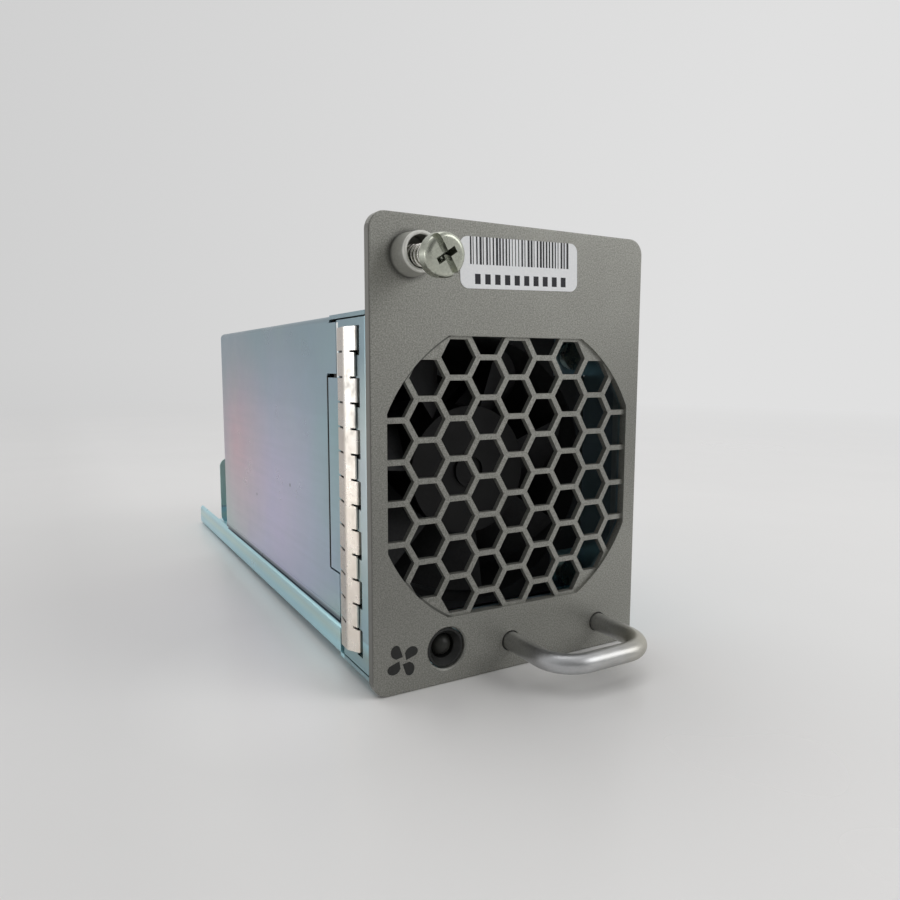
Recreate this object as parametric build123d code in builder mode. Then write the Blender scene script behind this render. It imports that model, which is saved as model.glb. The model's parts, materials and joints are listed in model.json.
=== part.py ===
from build123d import *
import os
from math import atan, cos, degrees, hypot, radians, sin, sqrt

os.makedirs("parts", exist_ok=True)

# Frame: origin on the tray underside where it meets the rear (seating) face of the front panel.
# +X right seen from the front, +Y towards the rear of the chassis, +Z up. Millimetres.

# Front panel
PANEL_LAP = 0.3
PANEL_RISE = 16.6
PANEL_DROP = 2.6
PANEL_THICK = 1.8
PANEL_CORNER = 3.2
PANEL_EDGE = 0.3

# Grille opening and honeycomb
GRILLE_LIFT = 1.5
OPENING_SIDE = 2.0
OPENING_END = 3.5
OPENING_ROUND = 0.7
HEX_FLATS = 6.5
HEX_WEB = 1.05
GRILLE_THICK = 1.2
GRILLE_MARGIN = 1.4

# Sheet metal body
SHEET = 0.8
COVER_SHEET = 0.6
BEND = 1.1
FRAME_DEPTH = 14.6
FRAME_LIFT = 1.1
TOP_LIP_REACH = 3.7
TAB_REACH = 5.0
TAB_SHARE = 0.64
TAB_LIFT = 1.0
TAB_GAP = 0.4
FOOT_WIDTH = 6.0
FOOT_DEPTH = 8.0
RELIEF_DEPTH = 1.7
RELIEF_HEIGHT = 3.6
TRAY_TAIL = 43.1
LIP_HEIGHT = 6.5
COVER_TAIL = 23.0
COVER_GAP = 0.75
COVER_CORNER = 1.4
SKIRT_GAP = 0.4
SEAM = 0.3
SNUG = 0.05

# Spring finger strip on the left wall
FINGER_COUNT = 13
FINGER_SLOT = 0.4
FINGER_THICK = 0.25
FINGER_BOTTOM_Z = 4.3
FINGER_END_DROP = 1.5
FINGER_TOP_GAP = 2.6
FINGER_REAR_EDGE = 0.9
FINGER_REAR_RUN = 5.4
FINGER_FRONT_RUN = 3.95
FINGER_CREST = 0.9
FINGER_ROUND = 4.0
FINGER_TIP_GAP = 0.08
FINGER_HOOK = 0.7
FINGER_HOOK_ROUND = 0.3
FINGER_SHORT_TRIM = 0.55
FINGER_REAR_CUT = 4.4
FINGER_FRONT_CUT = 1.95
WINDOW_LEAD = 0.9
WINDOW_DEPTH = 2.5
WINDOW_RISE = 0.1
WINDOW_DROP = 0.9

# Pull handle
HANDLE_ROD = 3.8
HANDLE_SIDE = 9.8
HANDLE_SHARE = 0.3606
HANDLE_Z = 3.05
HANDLE_REACH = 16.0
HANDLE_BEND = 6.5
HANDLE_STEP = 0.5
HANDLE_PEEN_THICK = 0.9
HANDLE_HOLE_GAP = 0.2

# Captive screw, drooping in its ferrule
SCREW_SIDE = 7.7
SCREW_TOP = 7.15
SCREW_DROOP = 7.0
FERRULE_FLARE = 0.4
FERRULE_BODY = 6.9
FERRULE_LENGTH = 5.0
FERRULE_SHANK = 5.2
FERRULE_SKIN = 0.3
FERRULE_FLOOR = 0.6
FERRULE_BORE_GAP = 0.3
SCREW_THREAD = 3.0
SCREW_NECK_STEP = 0.3
SCREW_THREAD_LENGTH = 10.0
SCREW_HEAD = 7.2
SCREW_HEAD_THICK = 2.8
SCREW_HEAD_EDGE = 0.9
SCREW_STAND = 14.1
SLOT_WIDTH = 1.1
SLOT_DEPTH = 1.6
CROSS_SPAN = 3.8
CROSS_DEPTH = 2.2
SLOT_TURN = 34.5
RETAINER_LAP = 0.8
RETAINER_THICK = 0.5
RETAINER_GAP = 0.45
SPRING_WIRE = 0.4
SPRING_GAP = 0.65
SPRING_TURNS = 8

# Status lamp and blank label
LED_SIDE = 15.4
LED_Z = 4.27
LED_HOLE = 8.1
LED_RIM = 0.3
LED_CUP_GAP = 0.25
LED_RECESS = 0.6
LED_LIP = 0.45
LED_STEP = 1.0
LED_BARREL_LENGTH = 4.5
LED_SIZE = 4.4
LED_WELL_GAP = 0.25
LED_WELL_DEPTH = 1.8
LED_SINK = 0.5
LED_BASE_RIM = 0.4
LED_BASE_THICK = 0.9
LABEL_WIDTH = 27.0
LABEL_HEIGHT = 9.3
LABEL_SHIFT = 23.7
LABEL_TOP = 7.22
LABEL_TURN = 1.5
LABEL_CORNER = 1.7
LABEL_THICK = 0.12

# Fans, two standard 60 mm frames set back to back, with the tray sized round them
FAN_SIZE = 60.0
FAN_SIDE_GAP = 0.1
FAN_FLOOR_GAP = 4.5
FAN_TOP_GAP = 1.4
FAN_DEPTH = 38.0
FAN_CORNER = 3.0
FAN_FLANGE = 4.0
FAN_BORE_EDGE = 1.2
FAN_SKIN = 1.0
FAN_HOLE_EDGE = 5.0
HUB_SIZE = 28.0
HUB_SKIN = 1.4
HUB_FRONT = 2.0
HUB_BACK = 8.0
HUB_RING = 7.4
BLADE_TIP_GAP = 0.6
BLADE_BACK = 4.6
FRONT_ROOT_RUN = 11.0
FRONT_TIP_RUN = 24.0
REAR_ROOT_RUN = 15.0
REAR_TIP_RUN = 33.0
BLADE_ROOT_THICK = 1.6
BLADE_TIP_THICK = 0.9
FRONT_BLADES = 7
REAR_BLADES = 5
STRUT_COUNT = 4
STRUT_WIDTH = 2.4
STRUT_DEPTH = 5.0
BASE_THICK = 2.0
CUP_SKIN = 0.8
MAGNET_THICK = 1.5
AIR_GAP = 0.4
SHAFT_SIZE = 3.0
SHAFT_FIT = 0.04
TUBE_SKIN = 1.0
BEARING_SIZE = 7.0
BEARING_WIDTH = 2.5
STATOR_DEPTH = 9.0
STATOR_POLES = 4
POLE_WIDTH = 4.0
COIL_THICK = 1.3
BOARD_THICK = 1.0

# Fan fixing
EAR_WIDTH = 9.4
EAR_HEIGHT = 9.2
FAN_SCREW = 4.0
FAN_SCREW_GAP = 0.2
FAN_SCREW_HEAD = 6.6
FAN_SCREW_HEAD_THICK = 2.3
FAN_SCREW_LENGTH = 8.0
BRACKET_SIDE = 1.5
BRACKET_RISE = 15.0
BRACKET_FOOT = 12.0

# Rear connector
PLATE_BACK = 9.0
PLATE_SIDE = 9.3
PLATE_RISE = 8.1
PLATE_CORNER = 3.0
PLATE_FOOT = 11.0
PLUG_WIDTH = 32.0
PLUG_HEIGHT = 9.0
PLUG_Z = 12.0
PLUG_LENGTH = 12.0
PLUG_FRONT = 5.0
PLUG_EAR = 6.0
PLUG_FLANGE_LIP = 1.0
PLUG_FLANGE_THICK = 2.0
PLUG_CAVITY_DEPTH = 8.0
PLUG_WALL = 1.2
PIN_COUNT = 8
PIN_EDGE = 2.9
PIN_WIDTH = 1.2
PIN_HEIGHT = 2.4
PIN_REACH = 5.5
PLUG_SCREW = 2.5
PLUG_SCREW_HEAD = 4.6
PLUG_SCREW_HEAD_THICK = 1.6
PLUG_SCREW_LENGTH = 6.0

# Body and panel, sized round the fans
BODY_WIDTH = FAN_SIZE + 2 * (SHEET + FAN_SIDE_GAP)
FAN_Z = SHEET + FAN_FLOOR_GAP + FAN_SIZE / 2
BODY_HEIGHT = FAN_Z + FAN_SIZE / 2 + FAN_TOP_GAP + SHEET
HALF = BODY_WIDTH / 2
INNER = HALF - SHEET
PANEL_WIDTH = BODY_WIDTH + 2 * PANEL_LAP
PANEL_TOP = BODY_HEIGHT + PANEL_RISE
PANEL_HEIGHT = PANEL_TOP + PANEL_DROP
FRONT_FACE = Plane.XZ.offset(PANEL_THICK)

# Grille opening
GRILLE_Z = FAN_Z + GRILLE_LIFT
OPENING_WIDTH = FAN_SIZE - 2 * OPENING_SIDE
OPENING_HEIGHT = FAN_SIZE - 2 * OPENING_END
OPENING_RADIUS = FAN_SIZE / 2 + OPENING_ROUND
HEX_PITCH = HEX_FLATS + HEX_WEB
HEX_COLUMN = HEX_PITCH * sqrt(3) / 2

# Front frame, cover and tray
TOP_LIP_DEPTH = FRAME_DEPTH + TOP_LIP_REACH
TAB_HEIGHT = FAN_SIZE * TAB_SHARE
TAB_Z = FAN_Z + TAB_LIFT
WALL_TOP = BODY_HEIGHT - SHEET - SEAM
COVER_START = FRAME_DEPTH + SEAM
COVER_LENGTH = 2 * FAN_DEPTH + COVER_TAIL
COVER_END = COVER_START + COVER_LENGTH
COVER_BOTTOM = LIP_HEIGHT + COVER_GAP
TRAY_LENGTH = COVER_END + TRAY_TAIL

# Finger strip
FINGER_STRIP = BODY_HEIGHT - FINGER_BOTTOM_Z - FINGER_TOP_GAP
FINGER_PITCH = (FINGER_STRIP + FINGER_SLOT) / FINGER_COUNT
FINGER_WIDTH = FINGER_PITCH - FINGER_SLOT
FINGER_REAR_Y = FRAME_DEPTH - FINGER_REAR_EDGE
FINGER_CREST_Y = FINGER_REAR_Y - FINGER_REAR_RUN
FINGER_HOOK_Y = FINGER_CREST_Y - FINGER_FRONT_RUN
WINDOW_Y = FINGER_HOOK_Y - WINDOW_LEAD
WINDOW_HEIGHT = FINGER_WIDTH + WINDOW_RISE + WINDOW_DROP

# Handle, screw, lamp and label on the panel
HANDLE_SPAN = PANEL_WIDTH * HANDLE_SHARE
HANDLE_RIGHT_X = PANEL_WIDTH / 2 - HANDLE_SIDE
HANDLE_LEFT_X = HANDLE_RIGHT_X - HANDLE_SPAN
HANDLE_TENON = HANDLE_ROD - 2 * HANDLE_STEP
SCREW_X = SCREW_SIDE - PANEL_WIDTH / 2
SCREW_Z = PANEL_TOP - SCREW_TOP
SCREW_NECK = SCREW_THREAD - 2 * SCREW_NECK_STEP
SPRING_SIZE = SCREW_NECK + 2 * (SPRING_GAP + SPRING_WIRE)
FERRULE_BASE = FERRULE_BODY + 2 * FERRULE_FLARE
FERRULE_CAVITY = FERRULE_BODY - 2 * FERRULE_SKIN
FERRULE_BORE = SCREW_THREAD + 2 * FERRULE_BORE_GAP
RETAINER_SIZE = FERRULE_BORE + 2 * RETAINER_LAP
LED_X = LED_SIDE - PANEL_WIDTH / 2
LED_CUP = LED_HOLE - 2 * LED_CUP_GAP
LED_BARREL = LED_CUP - 2 * LED_STEP
LED_WELL = LED_SIZE + 2 * LED_WELL_GAP
LED_BASE = LED_SIZE + 2 * LED_BASE_RIM
LABEL_X = SCREW_X + LABEL_SHIFT
LABEL_Z = PANEL_TOP - LABEL_TOP

# Fans
FAN_MEET = FRAME_DEPTH + FAN_DEPTH
FAN_END = FRAME_DEPTH + 2 * FAN_DEPTH
FAN_BORE = FAN_SIZE - 2 * FAN_BORE_EDGE
FAN_HOLES = FAN_SIZE - 2 * FAN_HOLE_EDGE
FAN_HOLE = FAN_SCREW + 2 * FAN_SCREW_GAP
HUB_DEPTH = FAN_DEPTH - HUB_FRONT - HUB_BACK
BLADE_DEPTH = HUB_DEPTH - HUB_SKIN - BLADE_BACK
BRACKET_WIDTH = FAN_SIZE - 2 * BRACKET_SIDE
SCREW_PLACES = [(x * FAN_HOLES / 2, FAN_Z + z * FAN_HOLES / 2) for x in (-1, 1) for z in (-1, 1)]

# Rear connector
PLATE_Y = TRAY_LENGTH - PLATE_BACK
PLATE_WIDTH = PLUG_WIDTH + 2 * PLATE_SIDE
PLATE_TOP = PLUG_Z + PLUG_HEIGHT / 2 + PLATE_RISE
PLUG_FLANGE_WIDTH = PLUG_WIDTH + 2 * PLUG_EAR
PLUG_FLANGE_HEIGHT = PLUG_HEIGHT + 2 * PLUG_FLANGE_LIP
PLUG_SCREW_SPAN = PLUG_WIDTH + PLUG_EAR
PIN_PITCH = (PLUG_WIDTH - 2 * PLUG_WALL - 2 * PIN_EDGE) / (PIN_COUNT - 1)


def save(builder, name):
    builder.part.label = name
    export_step(builder.part, f"parts/{name}.step")


def y_plane(y, x=0.0, z=0.0):
    """Plane across the depth, looking forward: its normal is -Y and its local axes are +X and +Z."""
    return Plane(origin=(x, y, z), x_dir=(1, 0, 0), z_dir=(0, -1, 0))


def opening_outline(margin):
    """Round opening with flat sides, as the panel shows it, grown by a margin."""
    with BuildSketch() as outline:
        Circle(OPENING_RADIUS + margin)
        Rectangle(OPENING_WIDTH + 2 * margin, OPENING_HEIGHT + 2 * margin, mode=Mode.INTERSECT)
    return outline.sketch


def hex_centres():
    """Centres of the honeycomb cells that lie inside the opening."""
    columns = int(OPENING_WIDTH / HEX_COLUMN) + 1
    rows = int(OPENING_HEIGHT / HEX_PITCH) + 1
    centres = []
    for column in range(-columns, columns + 1):
        shift = HEX_PITCH / 2 if column % 2 else 0.0
        for row in range(-rows, rows + 1):
            x = column * HEX_COLUMN
            z = row * HEX_PITCH + shift
            inside = abs(x) < OPENING_WIDTH / 2 and abs(z) < OPENING_HEIGHT / 2
            if inside and hypot(x, z) < OPENING_RADIUS:
                centres.append((x, z))
    return centres


opening = opening_outline(0.0)
rebate = opening_outline(GRILLE_MARGIN + SNUG)
grille_edge = opening_outline(GRILLE_MARGIN)

with BuildSketch() as hex_cells:
    with Locations(*hex_centres()):
        RegularPolygon(HEX_FLATS / 2, 6, major_radius=False)
    add(opening, mode=Mode.INTERSECT)

# Front panel with the rebated grille opening, handle holes, lamp hole and ferrule hole
with BuildPart() as front_panel:
    with BuildSketch(Plane.XZ):
        with Locations((0, PANEL_TOP - PANEL_HEIGHT / 2)):
            RectangleRounded(PANEL_WIDTH, PANEL_HEIGHT, PANEL_CORNER)
    extrude(amount=PANEL_THICK)
    fillet(front_panel.faces().sort_by(Axis.Y)[0].edges(), PANEL_EDGE)
    with BuildSketch(Plane.XZ):
        with Locations((0, GRILLE_Z)):
            add(opening)
        with Locations((HANDLE_LEFT_X, HANDLE_Z), (HANDLE_RIGHT_X, HANDLE_Z)):
            Circle(HANDLE_ROD / 2 + HANDLE_HOLE_GAP)
        with Locations((SCREW_X, SCREW_Z)):
            Circle(FERRULE_SHANK / 2 + SNUG)
        with Locations((LED_X, LED_Z)):
            Circle(LED_HOLE / 2)
    extrude(amount=PANEL_THICK, mode=Mode.SUBTRACT)
    with BuildSketch(Plane.XZ):
        with Locations((0, GRILLE_Z)):
            add(rebate)
    extrude(amount=GRILLE_THICK, mode=Mode.SUBTRACT)
    lamp_edge = front_panel.edges().filter_by(GeomType.CIRCLE)
    lamp_edge = lamp_edge.filter_by(lambda e: abs(e.radius - LED_HOLE / 2) < 0.01)
    chamfer(lamp_edge.sort_by(Axis.Y)[0], LED_RIM)
save(front_panel, "front_panel")

# Honeycomb grille, a perforated sheet in the panel's rebate
with BuildPart() as grille_screen:
    with BuildSketch(Plane.XZ):
        with Locations((0, GRILLE_Z)):
            add(grille_edge)
            add(hex_cells.sketch, mode=Mode.SUBTRACT)
    extrude(amount=GRILLE_THICK)
save(grille_screen, "grille_screen")

# Front frame, one bent sheet: flange behind the panel with feet on the tray, two walls with rear
# tabs and relief notches, top lip and inward ears for the fan
finger_zs = [FINGER_BOTTOM_Z + FINGER_WIDTH / 2 + FINGER_PITCH * i for i in range(FINGER_COUNT)]
long_zs = finger_zs[::2]
with BuildPart() as front_frame:
    wall_depth = FRAME_DEPTH + TAB_REACH
    with BuildSketch(Plane.XY.offset(FRAME_LIFT)) as channel:
        with Locations((0, wall_depth / 2)):
            Rectangle(BODY_WIDTH, wall_depth)
        fillet(channel.vertices().group_by(Axis.Y)[0], BEND)
        with Locations((0, wall_depth / 2 + SHEET)):
            Rectangle(2 * INNER, wall_depth, mode=Mode.SUBTRACT)
    extrude(amount=WALL_TOP - FRAME_LIFT)
    with BuildSketch(Plane.YZ.offset(-HALF)):
        with Locations((wall_depth, BODY_HEIGHT / 2)):
            Rectangle(2 * TAB_REACH, 2 * BODY_HEIGHT)
        with Locations((wall_depth, TAB_Z)):
            Rectangle(4 * TAB_REACH, TAB_HEIGHT, mode=Mode.SUBTRACT)
        with Locations((FRAME_DEPTH, FRAME_LIFT)):
            Rectangle(2 * RELIEF_DEPTH, 2 * RELIEF_HEIGHT)
    extrude(amount=BODY_WIDTH, mode=Mode.SUBTRACT)
    with BuildSketch(Plane.YZ.offset(-HALF)):
        window_shift = (WINDOW_RISE - WINDOW_DROP) / 2
        with Locations(*[(WINDOW_Y + WINDOW_DEPTH / 2, z + window_shift) for z in long_zs]):
            Rectangle(WINDOW_DEPTH, WINDOW_HEIGHT)
    extrude(amount=SHEET, mode=Mode.SUBTRACT)
    with BuildSketch(Plane.YZ) as lip:
        with Locations((TOP_LIP_DEPTH / 2, BODY_HEIGHT - SHEET / 2)):
            Rectangle(TOP_LIP_DEPTH, SHEET)
        with Locations((SHEET / 2, BODY_HEIGHT - SHEET - SEAM / 2)):
            Rectangle(SHEET, SEAM)
    extrude(amount=HALF - BEND, both=True)
    with BuildSketch(Plane.XY.offset(BODY_HEIGHT)):
        with Locations((0, (TOP_LIP_DEPTH + SHEET) / 2)):
            Rectangle(BODY_WIDTH, TOP_LIP_DEPTH - SHEET)
    extrude(amount=-SHEET)
    with BuildSketch(y_plane(FRAME_DEPTH)) as ears:
        for side in (-1, 1):
            for level in (-1, 1):
                with Locations((side * (INNER - EAR_WIDTH / 2), FAN_Z + level * FAN_HOLES / 2)):
                    Rectangle(EAR_WIDTH + SHEET, EAR_HEIGHT)
        with Locations((0, FAN_Z)):
            Rectangle(2 * (INNER - EAR_WIDTH) + SHEET, 2 * FAN_SIZE, mode=Mode.SUBTRACT)
            Circle(FAN_BORE / 2, mode=Mode.SUBTRACT)
        with Locations(*SCREW_PLACES):
            Circle(FAN_SCREW / 2 + FAN_SCREW_GAP, mode=Mode.SUBTRACT)
    extrude(amount=SHEET)
    with BuildSketch(Plane.XY.offset(SHEET)):
        for side in (-1, 1):
            with Locations((side * (HALF - BEND - FOOT_WIDTH / 2), FOOT_DEPTH / 2)):
                Rectangle(FOOT_WIDTH, FOOT_DEPTH)
    extrude(amount=SHEET)
    with BuildSketch(Plane.XZ):
        with Locations((0, GRILLE_Z)):
            add(opening)
        with Locations((HANDLE_LEFT_X, HANDLE_Z), (HANDLE_RIGHT_X, HANDLE_Z)):
            Circle(HANDLE_TENON / 2 + SNUG)
        with Locations((LED_X, LED_Z)):
            Circle(LED_BARREL / 2 + SNUG)
    extrude(amount=-2 * SHEET, mode=Mode.SUBTRACT)
save(front_frame, "front_frame")

# Tray floor with side lips behind the front frame
with BuildPart() as tray_floor:
    with BuildSketch(Plane.XZ.offset(-COVER_START)) as trough:
        with Locations((0, LIP_HEIGHT / 2)):
            Rectangle(BODY_WIDTH, LIP_HEIGHT)
        fillet(trough.vertices().group_by(Axis.Z)[0], BEND)
        with Locations((0, LIP_HEIGHT / 2 + SHEET)):
            Rectangle(2 * INNER, LIP_HEIGHT, mode=Mode.SUBTRACT)
    extrude(amount=-(TRAY_LENGTH - COVER_START))
    with BuildSketch(Plane.XY):
        with Locations((0, COVER_START / 2)):
            Rectangle(BODY_WIDTH, COVER_START)
        with Locations((0, COVER_START)):
            Rectangle(2 * INNER, 2 * BEND)
    extrude(amount=SHEET)
save(tray_floor, "tray_floor")

# Fan cover, an inverted channel with notches for the frame tabs and stepped skirts behind the
# tray lips, cut away where the fan flanges fill the width
skirt_spans = [
    (FRAME_DEPTH + FAN_FLANGE + SKIRT_GAP, FAN_MEET - FAN_FLANGE - SKIRT_GAP),
    (FAN_MEET + FAN_FLANGE + SKIRT_GAP, FAN_END - FAN_FLANGE - SKIRT_GAP),
    (FAN_END + SKIRT_GAP, COVER_END),
]
with BuildPart() as fan_cover:
    cover_rise = BODY_HEIGHT - COVER_BOTTOM
    with BuildSketch(Plane.XZ.offset(-COVER_START)) as hood:
        with Locations((0, COVER_BOTTOM + cover_rise / 2)):
            Rectangle(BODY_WIDTH, cover_rise)
        fillet(hood.vertices().group_by(Axis.Z)[-1], COVER_CORNER)
        with Locations((0, COVER_BOTTOM + cover_rise / 2 - COVER_SHEET)):
            Rectangle(BODY_WIDTH - 2 * COVER_SHEET, cover_rise, mode=Mode.SUBTRACT)
    extrude(amount=-COVER_LENGTH)
    with BuildSketch(Plane.YZ.offset(-HALF)):
        notch_end = FRAME_DEPTH + TAB_REACH + TAB_GAP
        with Locations((notch_end - COVER_LENGTH / 2, TAB_Z + TAB_GAP / 2)):
            Rectangle(COVER_LENGTH, TAB_HEIGHT + 3 * TAB_GAP)
        lip_end = TOP_LIP_DEPTH + SEAM
        with Locations((lip_end - COVER_LENGTH / 2, BODY_HEIGHT)):
            Rectangle(COVER_LENGTH, 2 * (BODY_HEIGHT - WALL_TOP + SEAM))
    extrude(amount=BODY_WIDTH, mode=Mode.SUBTRACT)
    for side in (-1, 1):
        for skirt_start, skirt_end in skirt_spans:
            with BuildSketch(y_plane(skirt_start)):
                with BuildLine():
                    outer = side * HALF
                    lip_face = side * INNER
                    inside = side * (INNER - COVER_SHEET)
                    step_z = COVER_BOTTOM + 2 * COVER_SHEET
                    Polyline(
                        (lip_face, SHEET),
                        (lip_face, COVER_BOTTOM),
                        (outer, COVER_BOTTOM),
                        (outer, step_z),
                        (inside, step_z),
                        (inside, SHEET),
                        close=True,
                    )
                make_face()
            extrude(amount=skirt_start - skirt_end)
save(fan_cover, "fan_cover")

# Spring finger strip: a bowed ribbon slotted from both edges, with every second finger shortened
# and the others hooked into the windows of the wall, its lower end cut on a slant
with BuildPart() as emi_finger_strip:
    wall_x = -HALF
    tip_x = wall_x - FINGER_TIP_GAP
    crest_x = wall_x - FINGER_CREST
    hook_x = wall_x + FINGER_HOOK
    strip_end = FINGER_BOTTOM_Z - FINGER_END_DROP
    with BuildSketch(Plane.XY.offset(strip_end)) as bow:
        with BuildLine():
            Polyline(
                (wall_x, FINGER_REAR_Y),
                (crest_x, FINGER_CREST_Y),
                (tip_x, FINGER_HOOK_Y + FINGER_THICK),
                (hook_x, FINGER_HOOK_Y + FINGER_THICK),
                (hook_x, FINGER_HOOK_Y),
                (tip_x - FINGER_THICK, FINGER_HOOK_Y),
                (crest_x - FINGER_THICK, FINGER_CREST_Y),
                (wall_x - FINGER_THICK, FINGER_REAR_Y),
                close=True,
            )
        make_face()
        crest = bow.vertices().filter_by(lambda v: abs(v.Y - FINGER_CREST_Y) < FINGER_THICK / 4)
        fillet(crest, FINGER_ROUND)
        hook_corner = bow.vertices().group_by(Axis.Y)[0].sort_by(Axis.X)[0]
        fillet(hook_corner, FINGER_HOOK_ROUND)
    extrude(amount=FINGER_STRIP + FINGER_END_DROP)
    with BuildSketch(Plane.YZ.offset(wall_x - 2 * FINGER_CREST)):
        for i in range(1, FINGER_COUNT):
            slot_z = FINGER_BOTTOM_Z + i * FINGER_PITCH - FINGER_SLOT / 2
            with Locations((FINGER_REAR_Y - FINGER_REAR_CUT / 2, slot_z)):
                Rectangle(FINGER_REAR_CUT, FINGER_SLOT)
            with Locations((FINGER_HOOK_Y + FINGER_FRONT_CUT / 2, slot_z)):
                Rectangle(FINGER_FRONT_CUT, FINGER_SLOT)
        with Locations(*[(FINGER_HOOK_Y + FINGER_SHORT_TRIM / 2, z) for z in finger_zs[1::2]]):
            Rectangle(FINGER_SHORT_TRIM, FINGER_PITCH)
        with BuildLine():
            Polyline(
                (FINGER_HOOK_Y, FINGER_BOTTOM_Z),
                (FINGER_REAR_Y, strip_end),
                (FINGER_HOOK_Y, strip_end),
                close=True,
            )
        make_face()
    extrude(amount=2 * FINGER_CREST + 2 * FINGER_HOOK, mode=Mode.SUBTRACT)
save(emi_finger_strip, "emi_finger_strip")

# Pull handle: bent rod whose legs seat on the frame flange, with tenons peened over behind it
with BuildPart() as pull_handle:
    bar_y = -PANEL_THICK - HANDLE_REACH
    with BuildLine(Plane.XY.offset(HANDLE_Z)) as bent:
        FilletPolyline(
            (HANDLE_LEFT_X, 0),
            (HANDLE_LEFT_X, bar_y),
            (HANDLE_RIGHT_X, bar_y),
            (HANDLE_RIGHT_X, 0),
            radius=HANDLE_BEND,
        )
    with BuildSketch(y_plane(0, HANDLE_LEFT_X, HANDLE_Z)):
        Circle(HANDLE_ROD / 2)
    sweep(path=bent.line)
    with BuildSketch(Plane.XZ):
        with Locations((HANDLE_LEFT_X, HANDLE_Z), (HANDLE_RIGHT_X, HANDLE_Z)):
            Circle(HANDLE_TENON / 2)
    extrude(amount=-SHEET)
    with BuildSketch(y_plane(SHEET)):
        with Locations((HANDLE_LEFT_X, HANDLE_Z), (HANDLE_RIGHT_X, HANDLE_Z)):
            Circle(HANDLE_ROD / 2)
    extrude(amount=-HANDLE_PEEN_THICK)
    peen_rims = pull_handle.edges().filter_by(GeomType.CIRCLE).group_by(Axis.Y)[-1]
    fillet(peen_rims, HANDLE_PEEN_THICK / 2)
save(pull_handle, "pull_handle")

# Captive screw ferrule pressed into the panel
with BuildPart() as captive_ferrule:
    with BuildSketch(FRONT_FACE):
        with Locations((SCREW_X, SCREW_Z)):
            Circle(FERRULE_BASE / 2)
    extrude(amount=FERRULE_LENGTH, taper=degrees(atan(FERRULE_FLARE / FERRULE_LENGTH)))
    rim = captive_ferrule.edges().filter_by(GeomType.CIRCLE).sort_by(Axis.Y)[0]
    fillet(rim, FERRULE_SKIN / 2)
    with BuildSketch(FRONT_FACE):
        with Locations((SCREW_X, SCREW_Z)):
            Circle(FERRULE_SHANK / 2)
    extrude(amount=-PANEL_THICK)
    with BuildSketch(FRONT_FACE.offset(FERRULE_FLOOR)):
        with Locations((SCREW_X, SCREW_Z)):
            Circle(FERRULE_CAVITY / 2)
    extrude(amount=FERRULE_LENGTH, mode=Mode.SUBTRACT)
    with BuildSketch(Plane.XZ):
        with Locations((SCREW_X, SCREW_Z)):
            Circle(FERRULE_BORE / 2)
    extrude(amount=PANEL_THICK + FERRULE_LENGTH, mode=Mode.SUBTRACT)
save(captive_ferrule, "captive_ferrule")

# Screw axis: pivots in the middle of the ferrule bore and points forward and slightly down
bore_length = PANEL_THICK + FERRULE_FLOOR
pivot = Vector(SCREW_X, -bore_length / 2, SCREW_Z)
droop = radians(SCREW_DROOP)
screw_axis = Plane(origin=pivot, x_dir=(1, 0, 0), z_dir=(0, -cos(droop), -sin(droop)))
head_under = SCREW_STAND - SCREW_HEAD_THICK
retainer_front = -bore_length / 2 - RETAINER_GAP
thread_front = bore_length / 2 + FERRULE_FLOOR
thread_tip = thread_front - SCREW_THREAD_LENGTH

with BuildPart() as captive_screw:
    with BuildSketch(screw_axis.offset(thread_tip)):
        Circle(SCREW_THREAD / 2)
    extrude(amount=SCREW_THREAD_LENGTH)
    chamfer(captive_screw.faces().sort_by(Axis.Y)[-1].edges(), SCREW_THREAD / 8)
    with BuildSketch(screw_axis.offset(thread_front)):
        Circle(SCREW_NECK / 2)
    extrude(amount=head_under - thread_front)
    with BuildSketch(screw_axis.offset(head_under)):
        Circle(SCREW_HEAD / 2)
    extrude(amount=SCREW_HEAD_THICK)
    fillet(captive_screw.faces().sort_by(Axis.Y)[0].edges(), SCREW_HEAD_EDGE)
    with BuildSketch(screw_axis.offset(SCREW_STAND)):
        Rectangle(SLOT_WIDTH, 2 * SCREW_HEAD, rotation=SLOT_TURN)
    extrude(amount=-SLOT_DEPTH, mode=Mode.SUBTRACT)
    with BuildSketch(screw_axis.offset(SCREW_STAND)):
        Rectangle(SLOT_WIDTH, CROSS_SPAN, rotation=SLOT_TURN)
        Rectangle(CROSS_SPAN, SLOT_WIDTH, rotation=SLOT_TURN)
    extrude(amount=-CROSS_DEPTH, taper=12, mode=Mode.SUBTRACT)
    with BuildSketch(screw_axis.offset(retainer_front + SNUG)):
        Circle(SCREW_THREAD)
        Circle(SCREW_NECK / 2, mode=Mode.SUBTRACT)
    extrude(amount=-RETAINER_THICK - 2 * SNUG, mode=Mode.SUBTRACT)
save(captive_screw, "captive_screw")

# Retaining ring in the screw's groove, behind the ferrule
with BuildPart() as captive_retainer:
    with BuildSketch(screw_axis.offset(retainer_front)):
        Circle(RETAINER_SIZE / 2)
        Circle(SCREW_NECK / 2 + SNUG, mode=Mode.SUBTRACT)
    extrude(amount=-RETAINER_THICK)
save(captive_retainer, "captive_retainer")

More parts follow.
